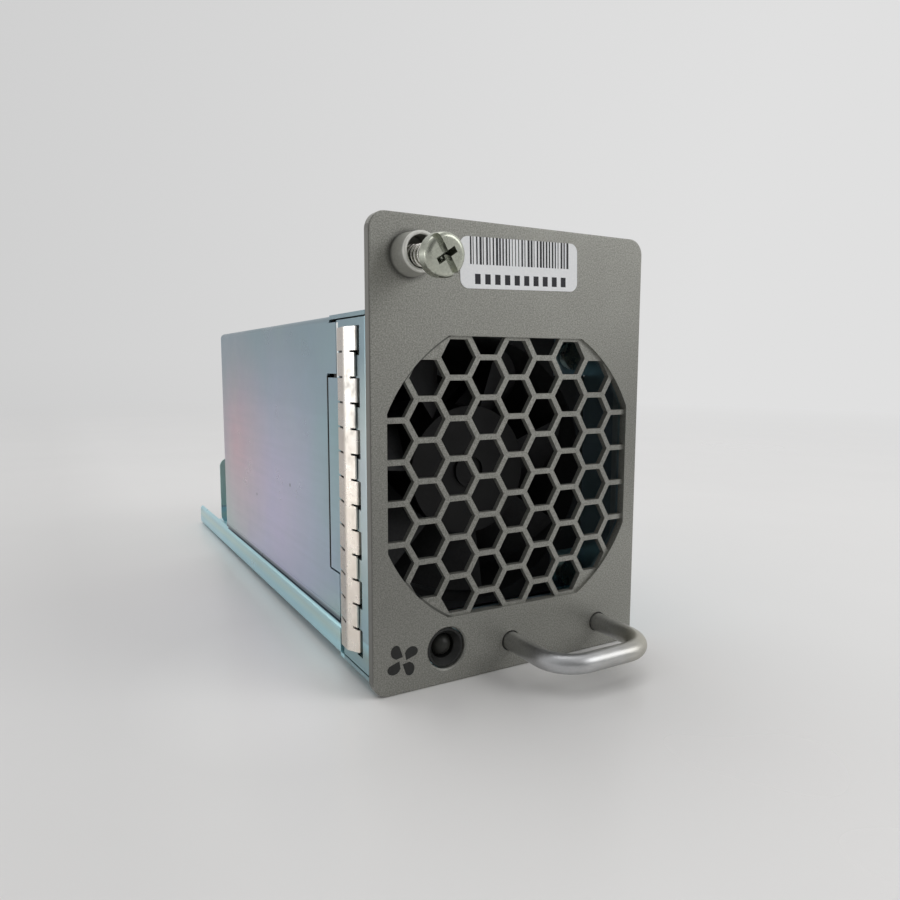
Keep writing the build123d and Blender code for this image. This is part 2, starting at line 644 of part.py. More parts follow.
# Coil spring between the ferrule floor and the underside of the screw head
spring_rest = bore_length / 2 + SPRING_SIZE / 2 * sin(droop) + SNUG
spring_low = spring_rest + SPRING_WIRE / 2
spring_high = head_under - SPRING_WIRE / 2 - SNUG
spring_radius = (SPRING_SIZE - SPRING_WIRE) / 2
with BuildPart() as captive_spring:
    with BuildLine() as coil:
        Helix(
            pitch=(spring_high - spring_low) / SPRING_TURNS,
            height=spring_high - spring_low,
            radius=spring_radius,
            center=screw_axis.offset(spring_low).origin,
            direction=screw_axis.z_dir,
        )
    with BuildSketch(Plane(coil.line @ 0, z_dir=coil.line % 0)):
        Circle(SPRING_WIRE / 2)
    sweep(path=coil.line, is_frenet=True)
save(captive_spring, "captive_spring")

# Blank label on the panel's top strip
with BuildPart() as id_label:
    with BuildSketch(FRONT_FACE):
        with Locations((LABEL_X, LABEL_Z)):
            RectangleRounded(LABEL_WIDTH, LABEL_HEIGHT, LABEL_CORNER, rotation=LABEL_TURN)
    extrude(amount=LABEL_THICK)
save(id_label, "id_label")

# Lamp holder, a black cup with a coned mouth, snapped through the panel and the frame flange
lamp_axis = Plane(origin=(LED_X, 0, LED_Z), x_dir=(1, 0, 0), z_dir=(0, -1, 0))
cup_front = PANEL_THICK - LED_RECESS
with BuildPart() as led_holder:
    with BuildSketch(Plane(origin=(LED_X, 0, LED_Z))):
        with BuildLine():
            seat_radius = LED_SIZE / 2 + SNUG
            Polyline(
                (seat_radius, LED_BARREL_LENGTH),
                (LED_BARREL / 2, LED_BARREL_LENGTH),
                (LED_BARREL / 2, 0),
                (LED_CUP / 2, 0),
                (LED_CUP / 2, -cup_front),
                (LED_CUP / 2 - LED_LIP, -cup_front),
                (LED_WELL / 2, 0),
                (LED_WELL / 2, LED_WELL_DEPTH),
                (seat_radius, LED_WELL_DEPTH),
                close=True,
            )
        make_face()
    revolve(axis=Axis((LED_X, 0, LED_Z), (0, 1, 0)))
save(led_holder, "led_holder")

# Lamp, a domed body with a base rim behind the holder
with BuildPart() as status_led:
    with BuildSketch(lamp_axis.offset(-LED_BARREL_LENGTH)):
        Circle(LED_SIZE / 2)
    extrude(amount=LED_BARREL_LENGTH + cup_front - LED_SINK)
    fillet(status_led.faces().sort_by(Axis.Y)[0].edges(), LED_SIZE / 2 - SNUG)
    with BuildSketch(lamp_axis.offset(-LED_BARREL_LENGTH)):
        Circle(LED_BASE / 2)
    extrude(amount=-LED_BASE_THICK)
save(status_led, "status_led")


def make_fan(prefix, axis, blade_count, root_run, tip_run, hand):
    """One fan. The axis plane lies on the rotor's open face, with its normal into the fan."""
    tube_inner = BEARING_SIZE / 2
    tube_outer = tube_inner + TUBE_SKIN
    cup_outer = HUB_SIZE / 2 - HUB_SKIN
    magnet_outer = cup_outer - CUP_SKIN
    stator_outer = magnet_outer - MAGNET_THICK - AIR_GAP
    base_top = FAN_DEPTH - BASE_THICK
    hub_end = HUB_FRONT + HUB_DEPTH
    shaft_front = HUB_FRONT + HUB_SKIN / 2
    tube_front = HUB_FRONT + HUB_SKIN + CUP_SKIN + 2 * AIR_GAP
    blade_tip = FAN_BORE / 2 - BLADE_TIP_GAP
    blade_mid = HUB_FRONT + HUB_SKIN + BLADE_DEPTH / 2

    # Moulded frame: two square flanges on a round duct, struts, motor base and bearing tube
    with BuildPart() as frame:
        with BuildSketch(axis):
            Circle(FAN_BORE / 2 + FAN_SKIN)
        extrude(amount=FAN_DEPTH)
        for start in (0, FAN_DEPTH - FAN_FLANGE):
            with BuildSketch(axis.offset(start)):
                RectangleRounded(FAN_SIZE, FAN_SIZE, FAN_CORNER)
                with GridLocations(FAN_HOLES, FAN_HOLES, 2, 2):
                    Circle(FAN_HOLE / 2, mode=Mode.SUBTRACT)
            extrude(amount=FAN_FLANGE)
        with BuildSketch(axis):
            Circle(FAN_BORE / 2)
        extrude(amount=FAN_DEPTH, mode=Mode.SUBTRACT)
        with BuildSketch(axis.offset(FAN_DEPTH)):
            Circle(HUB_SIZE / 2)
        extrude(amount=-BASE_THICK)
        with BuildSketch(axis.offset(FAN_DEPTH)):
            with PolarLocations(0, STRUT_COUNT, start_angle=45):
                with Locations((FAN_BORE / 4 + HUB_SIZE / 8, 0)):
                    Rectangle(FAN_BORE / 2 - HUB_SIZE / 4 + FAN_SKIN, STRUT_WIDTH)
        extrude(amount=-STRUT_DEPTH)
        with BuildSketch(axis.offset(base_top)):
            Circle(cup_outer)
        extrude(amount=-STRUT_DEPTH, mode=Mode.SUBTRACT)
        with BuildSketch(axis.offset(base_top)):
            Circle(tube_outer)
        extrude(amount=tube_front - base_top)
        with BuildSketch(axis.offset(tube_front)):
            Circle(tube_inner)
        extrude(amount=base_top - tube_front, mode=Mode.SUBTRACT)
    save(frame, f"{prefix}_fan_frame")

    # Impeller: hub cup with a ring on its face and twisted, cambered blades
    with BuildPart() as impeller:
        for i in range(blade_count):
            angle = radians(i * 360 / blade_count)
            outward = axis.x_dir * cos(angle) + axis.y_dir * sin(angle)
            turn = Plane(origin=axis.origin, x_dir=outward, z_dir=axis.z_dir)
            for radius, run, thick in (
                (HUB_SIZE / 2 - HUB_SKIN, root_run, BLADE_ROOT_THICK),
                (FAN_BORE / 2 + FAN_SKIN, tip_run, BLADE_TIP_THICK),
            ):
                centre = turn.from_local_coords((radius, 0, blade_mid))
                section = Plane(origin=centre, x_dir=turn.y_dir, z_dir=turn.x_dir)
                with BuildSketch(section):
                    with BuildLine():
                        lead = (-hand * run / 2, -BLADE_DEPTH / 2)
                        trail = (hand * run / 2, BLADE_DEPTH / 2)
                        bulge = hand * run / 6
                        ThreePointArc(lead, (bulge + thick / 2, 0), trail)
                        ThreePointArc(trail, (bulge - thick / 2, 0), lead)
                    make_face()
            loft()
        with BuildSketch(axis):
            Circle(blade_tip)
        extrude(amount=FAN_DEPTH, mode=Mode.INTERSECT)
        with BuildSketch(axis.offset(HUB_FRONT)):
            Circle(HUB_SIZE / 2)
        extrude(amount=HUB_DEPTH)
        with BuildSketch(axis.offset(hub_end)):
            Circle(cup_outer)
        extrude(amount=HUB_SKIN - HUB_DEPTH, mode=Mode.SUBTRACT)
        with BuildSketch(axis.offset(HUB_FRONT)):
            Circle(HUB_RING / 2)
            Circle(HUB_RING / 2 - HUB_SKIN / 2, mode=Mode.SUBTRACT)
        extrude(amount=-HUB_SKIN / 2)
        with BuildSketch(axis.offset(shaft_front)):
            Circle(SHAFT_SIZE / 2)
        extrude(amount=HUB_SKIN, mode=Mode.SUBTRACT)
    save(impeller, f"{prefix}_impeller")

    # Steel rotor cup and its ring magnet, inside the hub
    with BuildPart() as rotor_cup:
        with BuildSketch(axis.offset(HUB_FRONT + HUB_SKIN)):
            Circle(cup_outer)
        extrude(amount=HUB_DEPTH - 2 * HUB_SKIN)
        with BuildSketch(axis.offset(HUB_FRONT + HUB_SKIN + CUP_SKIN)):
            Circle(magnet_outer)
        extrude(amount=HUB_DEPTH, mode=Mode.SUBTRACT)
        with BuildSketch(axis.offset(HUB_FRONT + HUB_SKIN)):
            Circle(SHAFT_SIZE / 2)
        extrude(amount=CUP_SKIN, mode=Mode.SUBTRACT)
    save(rotor_cup, f"{prefix}_rotor_cup")

    stator_front = hub_end - HUB_SKIN - COIL_THICK - STATOR_DEPTH
    with BuildPart() as magnet:
        with BuildSketch(axis.offset(stator_front)):
            Circle(magnet_outer)
            Circle(magnet_outer - MAGNET_THICK, mode=Mode.SUBTRACT)
        extrude(amount=STATOR_DEPTH)
    save(magnet, f"{prefix}_magnet")

    # Shaft, carried by two bearings in the tube
    with BuildPart() as shaft:
        with BuildSketch(axis.offset(shaft_front)):
            Circle(SHAFT_SIZE / 2)
        extrude(amount=base_top - shaft_front - AIR_GAP)
    save(shaft, f"{prefix}_shaft")

    for place, start in (("upper", tube_front), ("lower", base_top - 2 * AIR_GAP - BEARING_WIDTH)):
        with BuildPart() as bearing:
            with BuildSketch(axis.offset(start)):
                Circle(tube_inner)
                Circle(SHAFT_SIZE / 2 + SHAFT_FIT, mode=Mode.SUBTRACT)
            extrude(amount=BEARING_WIDTH)
        save(bearing, f"{prefix}_{place}_bearing")

    # Stator stack with pole shoes, its coils and the ring circuit board on the motor base
    pole_reach = stator_outer - tube_outer - COIL_THICK
    coil_mid = tube_outer + COIL_THICK + pole_reach / 2
    with BuildPart() as stator:
        with BuildSketch(axis.offset(stator_front)):
            Circle(stator_outer)
            Circle(stator_outer - COIL_THICK, mode=Mode.SUBTRACT)
            with PolarLocations(stator_outer, STATOR_POLES, start_angle=45):
                Rectangle(4 * COIL_THICK, COIL_THICK, mode=Mode.SUBTRACT)
            with PolarLocations((tube_outer + stator_outer) / 2, STATOR_POLES):
                Rectangle(stator_outer - tube_outer - COIL_THICK, POLE_WIDTH)
            Circle(tube_outer + COIL_THICK)
            Circle(tube_outer, mode=Mode.SUBTRACT)
        extrude(amount=STATOR_DEPTH)
    save(stator, f"{prefix}_stator_core")

    coil_run = pole_reach - 2 * COIL_THICK
    with BuildPart() as windings:
        with BuildSketch(axis.offset(stator_front - COIL_THICK)):
            with PolarLocations(coil_mid - COIL_THICK / 2, STATOR_POLES):
                Rectangle(coil_run, POLE_WIDTH + 2 * COIL_THICK)
        extrude(amount=STATOR_DEPTH + 2 * COIL_THICK)
        with BuildSketch(axis.offset(stator_front)):
            with PolarLocations(coil_mid, STATOR_POLES):
                Rectangle(pole_reach, POLE_WIDTH)
        extrude(amount=STATOR_DEPTH, mode=Mode.SUBTRACT)
    save(windings, f"{prefix}_windings")

    with BuildPart() as board:
        with BuildSketch(axis.offset(base_top - BOARD_THICK)):
            Circle(stator_outer)
            Circle(tube_outer, mode=Mode.SUBTRACT)
        extrude(amount=BOARD_THICK)
    save(board, f"{prefix}_motor_board")


front_axis = Plane(origin=(0, FRAME_DEPTH, FAN_Z), x_dir=(1, 0, 0), z_dir=(0, 1, 0))
rear_axis = Plane(origin=(0, FAN_END, FAN_Z), x_dir=(1, 0, 0), z_dir=(0, -1, 0))
make_fan("front", front_axis, FRONT_BLADES, FRONT_ROOT_RUN, FRONT_TIP_RUN, 1)
make_fan("rear", rear_axis, REAR_BLADES, REAR_ROOT_RUN, REAR_TIP_RUN, -1)


def make_screw(name, under_head, size, head, head_thick, length):
    """Pan-head screw. The plane lies under the head, with its normal out through the head."""
    with BuildPart() as screw:
        with BuildSketch(under_head):
            Circle(head / 2)
        extrude(amount=head_thick)
        fillet(screw.edges().filter_by(GeomType.CIRCLE).sort_by(SortBy.DISTANCE)[-1:], head_thick / 3)
        with BuildSketch(under_head):
            Circle(size / 2)
        extrude(amount=-length)
    save(screw, name)


ear_front = FRAME_DEPTH - SHEET
for number, (x, z) in enumerate(SCREW_PLACES, start=1):
    place = Plane(origin=(x, ear_front, z), x_dir=(1, 0, 0), z_dir=(0, -1, 0))
    make_screw(f"front_fan_screw_{number}", place, FAN_SCREW, FAN_SCREW_HEAD, FAN_SCREW_HEAD_THICK,
               FAN_SCREW_LENGTH)

# Rear fan bracket: a low upright under the airway with a foot on the tray
with BuildPart() as rear_fan_bracket:
    with BuildSketch(y_plane(FAN_END)):
        with Locations((0, SHEET + BRACKET_RISE / 2)):
            Rectangle(BRACKET_WIDTH, BRACKET_RISE)
        with Locations((0, FAN_Z)):
            Circle(FAN_BORE / 2, mode=Mode.SUBTRACT)
        with Locations(SCREW_PLACES[0], SCREW_PLACES[2]):
            Circle(FAN_SCREW / 2 + FAN_SCREW_GAP, mode=Mode.SUBTRACT)
    extrude(amount=-SHEET)
    with BuildSketch(Plane.XY.offset(SHEET)):
        with Locations((0, FAN_END + BRACKET_FOOT / 2)):
            Rectangle(BRACKET_WIDTH, BRACKET_FOOT)
    extrude(amount=SHEET)
save(rear_fan_bracket, "rear_fan_bracket")

for number, (x, z) in enumerate((SCREW_PLACES[0], SCREW_PLACES[2]), start=1):
    place = Plane(origin=(x, FAN_END + SHEET, z), x_dir=(1, 0, 0), z_dir=(0, 1, 0))
    make_screw(f"rear_fan_screw_{number}", place, FAN_SCREW, FAN_SCREW_HEAD, FAN_SCREW_HEAD_THICK,
               FAN_SCREW_LENGTH)

# Connector bracket: upright plate with rounded top corners, a cut-out and a foot on the tray
plug_x = PLUG_SCREW_SPAN / 2
with BuildPart() as connector_bracket:
    with BuildSketch(y_plane(PLATE_Y)) as plate:
        with Locations((0, (SHEET + PLATE_TOP) / 2)):
            Rectangle(PLATE_WIDTH, PLATE_TOP - SHEET)
        fillet(plate.vertices().group_by(Axis.Z)[-1], PLATE_CORNER)
        with Locations((0, PLUG_Z)):
            Rectangle(PLUG_WIDTH + 2 * SNUG, PLUG_HEIGHT + 2 * SNUG, mode=Mode.SUBTRACT)
        with Locations((-plug_x, PLUG_Z), (plug_x, PLUG_Z)):
            Circle(PLUG_SCREW / 2 + FAN_SCREW_GAP, mode=Mode.SUBTRACT)
    extrude(amount=-SHEET)
    with BuildSketch(Plane.XY.offset(SHEET)):
        with Locations((0, PLATE_Y - PLATE_FOOT / 2 + SHEET / 2)):
            Rectangle(PLATE_WIDTH, PLATE_FOOT + SHEET)
    extrude(amount=SHEET)
save(connector_bracket, "connector_bracket")

# Blind-mate connector: flanged housing through the bracket, open to the rear, with blade contacts
plate_rear = PLATE_Y + SHEET
with BuildPart() as blind_mate_connector:
    with BuildSketch(y_plane(PLATE_Y - PLUG_FRONT)):
        with Locations((0, PLUG_Z)):
            Rectangle(PLUG_WIDTH, PLUG_HEIGHT)
    extrude(amount=-(PLUG_FRONT + SHEET + PLUG_LENGTH))
    with BuildSketch(y_plane(plate_rear)):
        with Locations((0, PLUG_Z)):
            RectangleRounded(PLUG_FLANGE_WIDTH, PLUG_FLANGE_HEIGHT, PLUG_WALL)
        with Locations((-plug_x, PLUG_Z), (plug_x, PLUG_Z)):
            Circle(PLUG_SCREW / 2 + FAN_SCREW_GAP, mode=Mode.SUBTRACT)
    extrude(amount=-PLUG_FLANGE_THICK)
    with BuildSketch(y_plane(plate_rear + PLUG_LENGTH)):
        with Locations((0, PLUG_Z)):
            Rectangle(PLUG_WIDTH - 2 * PLUG_WALL, PLUG_HEIGHT - 2 * PLUG_WALL)
    extrude(amount=PLUG_CAVITY_DEPTH, mode=Mode.SUBTRACT)
save(blind_mate_connector, "blind_mate_connector")

cavity_floor = plate_rear + PLUG_LENGTH - PLUG_CAVITY_DEPTH
for number in range(1, PIN_COUNT + 1):
    with BuildPart() as contact:
        with BuildSketch(y_plane(cavity_floor)):
            with Locations(((number - (PIN_COUNT + 1) / 2) * PIN_PITCH, PLUG_Z)):
                Rectangle(PIN_WIDTH, PIN_HEIGHT)
        extrude(amount=-PIN_REACH)
    save(contact, f"connector_contact_{number}")

for number, x in enumerate((-plug_x, plug_x), start=1):
    place = Plane(origin=(x, plate_rear + PLUG_FLANGE_THICK, PLUG_Z), x_dir=(1, 0, 0), z_dir=(0, 1, 0))
    make_screw(f"connector_screw_{number}", place, PLUG_SCREW, PLUG_SCREW_HEAD, PLUG_SCREW_HEAD_THICK,
               PLUG_SCREW_LENGTH)
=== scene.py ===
"""Looks of a switch fan tray: finishes for every node, small surface pieces, studio and camera."""
import json
import math

import bpy
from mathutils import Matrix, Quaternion, Vector


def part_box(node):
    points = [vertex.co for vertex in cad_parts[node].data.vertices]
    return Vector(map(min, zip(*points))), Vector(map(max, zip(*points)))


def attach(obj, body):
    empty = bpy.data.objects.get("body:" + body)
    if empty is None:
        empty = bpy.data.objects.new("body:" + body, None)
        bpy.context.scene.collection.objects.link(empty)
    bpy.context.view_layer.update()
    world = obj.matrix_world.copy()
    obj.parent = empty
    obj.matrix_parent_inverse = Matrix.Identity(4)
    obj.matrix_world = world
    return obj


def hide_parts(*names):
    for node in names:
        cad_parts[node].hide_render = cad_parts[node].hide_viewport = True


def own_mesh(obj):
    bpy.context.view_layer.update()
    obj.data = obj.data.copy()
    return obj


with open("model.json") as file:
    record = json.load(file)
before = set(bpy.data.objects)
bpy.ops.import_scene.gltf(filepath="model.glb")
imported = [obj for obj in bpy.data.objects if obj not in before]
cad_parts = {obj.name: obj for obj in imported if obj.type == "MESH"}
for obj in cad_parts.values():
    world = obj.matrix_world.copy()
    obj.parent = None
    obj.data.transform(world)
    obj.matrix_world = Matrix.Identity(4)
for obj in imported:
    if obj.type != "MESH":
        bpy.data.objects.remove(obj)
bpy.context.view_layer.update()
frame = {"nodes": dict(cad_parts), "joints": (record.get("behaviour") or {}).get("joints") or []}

MM = 0.001

# Camera: eye and aim in millimetres, focal length in pixels, roll in degrees, near clip in metres
IMAGE_PIXELS = 900
FOCAL_PIXELS = 721.0
SENSOR = 36.0
EYE = (-80.92, -116.93, 57.69)
AIM = (-7.11, 12.51, 40.46)
ROLL = 0.12
CLIP_START = 0.01

# Studio: lengths in metres; tones change with the direction, as a part of a unit vector
FLOOR_REACH = 6.0
FLOOR_SIDES = 64
FADE_START = 0.22
FADE_END = 0.9
DIM_SIDE = (-0.3, -0.95, 0.0)
DIM_FROM = 0.2
DIM_TO = 0.9
DIM_SHARE = 0.35
PALE_FROM = -0.12
PALE_TO = 0.75

# Soft lamps: name, place, aim and disc size in metres, power in watts
LAMPS = (
    ("overhead", (-0.10, 0.35, 1.00), (0.0, 0.05, 0.03), 0.9, 2.4),
    ("front_right", (0.50, -0.50, 0.42), (0.0, 0.0, 0.05), 0.5, 1.5),
    ("back_left", (-1.05, 1.10, 0.22), (-0.03, 0.01, 0.06), 0.45, 1.6),
)

# Shader noise lies mostly between these values
NOISE_LOW = 0.3
NOISE_HIGH = 0.7

# Sockets of the colour form of the mix node
MIX_SHARE = 0
MIX_FIRST = 6
MIX_SECOND = 7
MIX_RESULT = 2

# Places on the object, in millimetres
PANEL_LEFT_X, PANEL_FRONT_Y, PANEL_FOOT_Z = (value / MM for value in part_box("front_panel")[0])
TRAY_REAR_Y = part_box("tray_floor")[1][1] / MM
LIP_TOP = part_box("tray_floor")[1][2] / MM
COVER_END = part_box("fan_cover")[1][1] / MM
COVER_FOOT = LIP_TOP + 0.75
FRAME_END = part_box("front_frame")[1][1] / MM
FERRULE_FRONT_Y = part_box("captive_ferrule")[0][1] / MM
FERRULE_MIDDLE = [(a + b) / 2 / MM for a, b in zip(*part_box("captive_ferrule"))]
SCREEN_FRONT_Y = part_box("grille_screen")[0][1] / MM
SCREEN_MIDDLE = [(a + b) / 2 / MM for a, b in zip(*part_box("grille_screen"))]
LEFT_WALL_X = (-32.0, -29.9)

# Panel: painted shade in soft balls (x, z, reach, light), painted shade on its left edge, shade at the
# ferrule and along the grille's opening
PANEL_PAINTED_SHADE = ((-31.0, 22.0, 42.0, 0.74), (31.0, 46.0, 24.0, 0.78))
PANEL_SHADED_EDGE_X = (LEFT_WALL_X[0], PANEL_LEFT_X + 0.12)
FERRULE_SHADE = 4.8
FERRULE_SHADE_SOFT = 1.0
OPENING_RADIUS = 30.7
SHADE_BY_DEPTH = 0.45
SHADE_MARGIN = 0.18
OPENING_SHADE = SHADE_BY_DEPTH * (SCREEN_FRONT_Y - PANEL_FRONT_Y) + SHADE_MARGIN
TOUCH = 0.05

# Zinc sheet: bloom (centre, reach, soft edge), specks (y, z, size), and bands by coordinate, among them
# painted shade and painted highlights
VIOLET_BLOOM = ((-31, 60, 24), 50, 42)
PINK_BLOOM = ((-31, 98, 36), 38, 36)
WALL_FOOT_Z = (LIP_TOP + 0.2, LIP_TOP + 0.6)
LIP_HIGHLIGHT_RISE_Z = (2.2, 3.8)
LIP_HIGHLIGHT_FALL_Z = (4.4, 6.0)
WALL_SHADE_Z = (44, 66)
WALL_DARKER_Z = (12, 66)
WALL_DARKER = (0.66, 0.67, 0.67, 1.0)
SKIRT_X = (29.0, 30.25)
SEAM_Y = (18, COVER_END)
SEAM_Z = (LIP_TOP - 1.5, LIP_TOP + 2.5)
PLATE_FROM_Y = COVER_END + 20
PLATE_FROM_Z = LIP_TOP + 1
GROOVE_FADE_Z = (COVER_FOOT + 0.45, COVER_FOOT + 1.1)
GROOVE_Y = (13, COVER_END + 1)
GROOVE_Z = (LIP_TOP - 0.25, LIP_TOP + 3)
BEHIND_FINGERS_Y = (5.2, 13.3)
BEHIND_FINGERS_Z = (7, 64.2)
GLEAM_Y = (0.6, 4.6)
GLEAM_RISE_Z = (10, 24)
GLEAM_FALL_Z = (46, 60)
FOOT_SHADE_Y = (-1, 13)
FOOT_SHADE_FADE_Z = (4, 8)
SLIT_Y = (FRAME_END - 0.15, FRAME_END + 0.75)
SLIT_Z = (16.9, 55.9)
BEND_HIGHLIGHT_Y = (-0.2, 0.6)
EDGE_HIGHLIGHT_Y = (13.75, 14.65)
EDGE_HIGHLIGHT_Z = (55.6, 66)
SPECK_X = -30.9
SPECK_SOFT = 0.6
WALL_SPECKS = ((46.3, 30.1, 0.55), (76.3, 23.3, 0.5))
REAR_DULL_Y = (COVER_END + 2, COVER_END + 12)

# Tints of the finger strip, handle, ferrule and impeller, with painted shade and highlights among them, and
# the winding's ridges
FINGER_WARM_Z = (34, 54)
FINGER_SLOPE_SHADE_Y = (8.0, 9.2)
HANDLE_BEND = 3.0
HANDLE_GLOW = 9
HANDLE_GLOW_SOFT = 8
FERRULE_BASE_SHADE_Y = (PANEL_FRONT_Y - 1.0, PANEL_FRONT_Y - 0.3)
FERRULE_RIM_Y = (FERRULE_FRONT_Y + 0.5, FERRULE_FRONT_Y + 0.8)
HUB_REACH = 14.05
BLADE_REACH = 30.0
COIL_RIDGES = 700
COIL_WAVER = 0.4

# Floor: painted light beside the tray, painted shade farther to the left
FLOOR_PAINTED_LIGHT = ((-38, 14, PANEL_FOOT_Z), 34, 32)
FLOOR_LIGHT_GAIN = (1.13, 1.13, 1.13, 1.0)
FLOOR_SHADE_X = (-75, -45)
FLOOR_SHADE_GAIN = (0.92, 0.92, 0.92, 1.0)

# Fan sign beside the lamp: place, size and the shape of a blade, its angles in degrees
SIGN_X = -25.2
SIGN_Z = 3.8
SIGN_SIZE = 7.0
SIGN_BLADES = 4
SIGN_STEPS = 12
SIGN_START = 8
SIGN_SWEEP = 64
SIGN_WAIST = 0.42
SIGN_SKEW = 0.7
SIGN_ROUND = 0.6
SIGN_ROOT = 0.2
INK_THICK = 0.03

# Label: bars and blocks, from its middle
LABEL_TURN = 1.5
BARS_REACH = 11.4
BARS_Z = (-0.3, 4.8)
BAR_STEP = 0.72
BAR_THIN = 0.24
BAR_THICK = 0.74
BLOCKS_X = (-10.4, 11.5)
BLOCKS_Z = (-3.85, -2.0)
BLOCK_STEP = 2.2
BLOCK_SHARE = 0.55

# Captive screw, its spring and the ferrule's mouth
SCREW_THREAD = 3.0
THREAD_PITCH = 0.5
THREAD_RIDGE = 0.12
THREAD_STEPS = 24
RECESS_START = 0.2
RECESS_REACH = 3.2
RECESS_SOFT = 0.2
SPRING_WIRE = 0.5
SPRING_RADIUS = 1.82
SPRING_TURNS = 7
SPRING_STEPS = 20
WIRE_SIDES = 8
MOUTH_RADIUS = 2.8
MOUTH_ROUND = 0.32
MOUTH_STEPS = 48

# Hems of the cover
HEM_HEIGHT = 1.3
HEM_STAND = 0.06
HEM_DEPTH = 0.2


def srgb(red, green, blue):
    """A display colour, 0 to 255, as linear light."""
    linear = []
    for value in (red, green, blue):
        part = value / 255
        linear.append(part / 12.92 if part <= 0.04045 else ((part + 0.055) / 1.055) ** 2.4)
    return (*linear, 1.0)


PALE_LEFT = srgb(206, 206, 206)
PALE_RIGHT = srgb(224, 224, 224)


def joint(name):
    """The frame's row of one joint."""
    for row in frame["joints"]:
        if row["name"] == name:
            return row
    raise KeyError(name)


def along_axis(node, origin, axis):
    """The nearest and farthest place of a node along an axis, in millimetres from its origin."""
    places = [axis.dot(vertex.co / MM - origin) for vertex in frame["nodes"][node].data.vertices]
    return min(places), max(places)


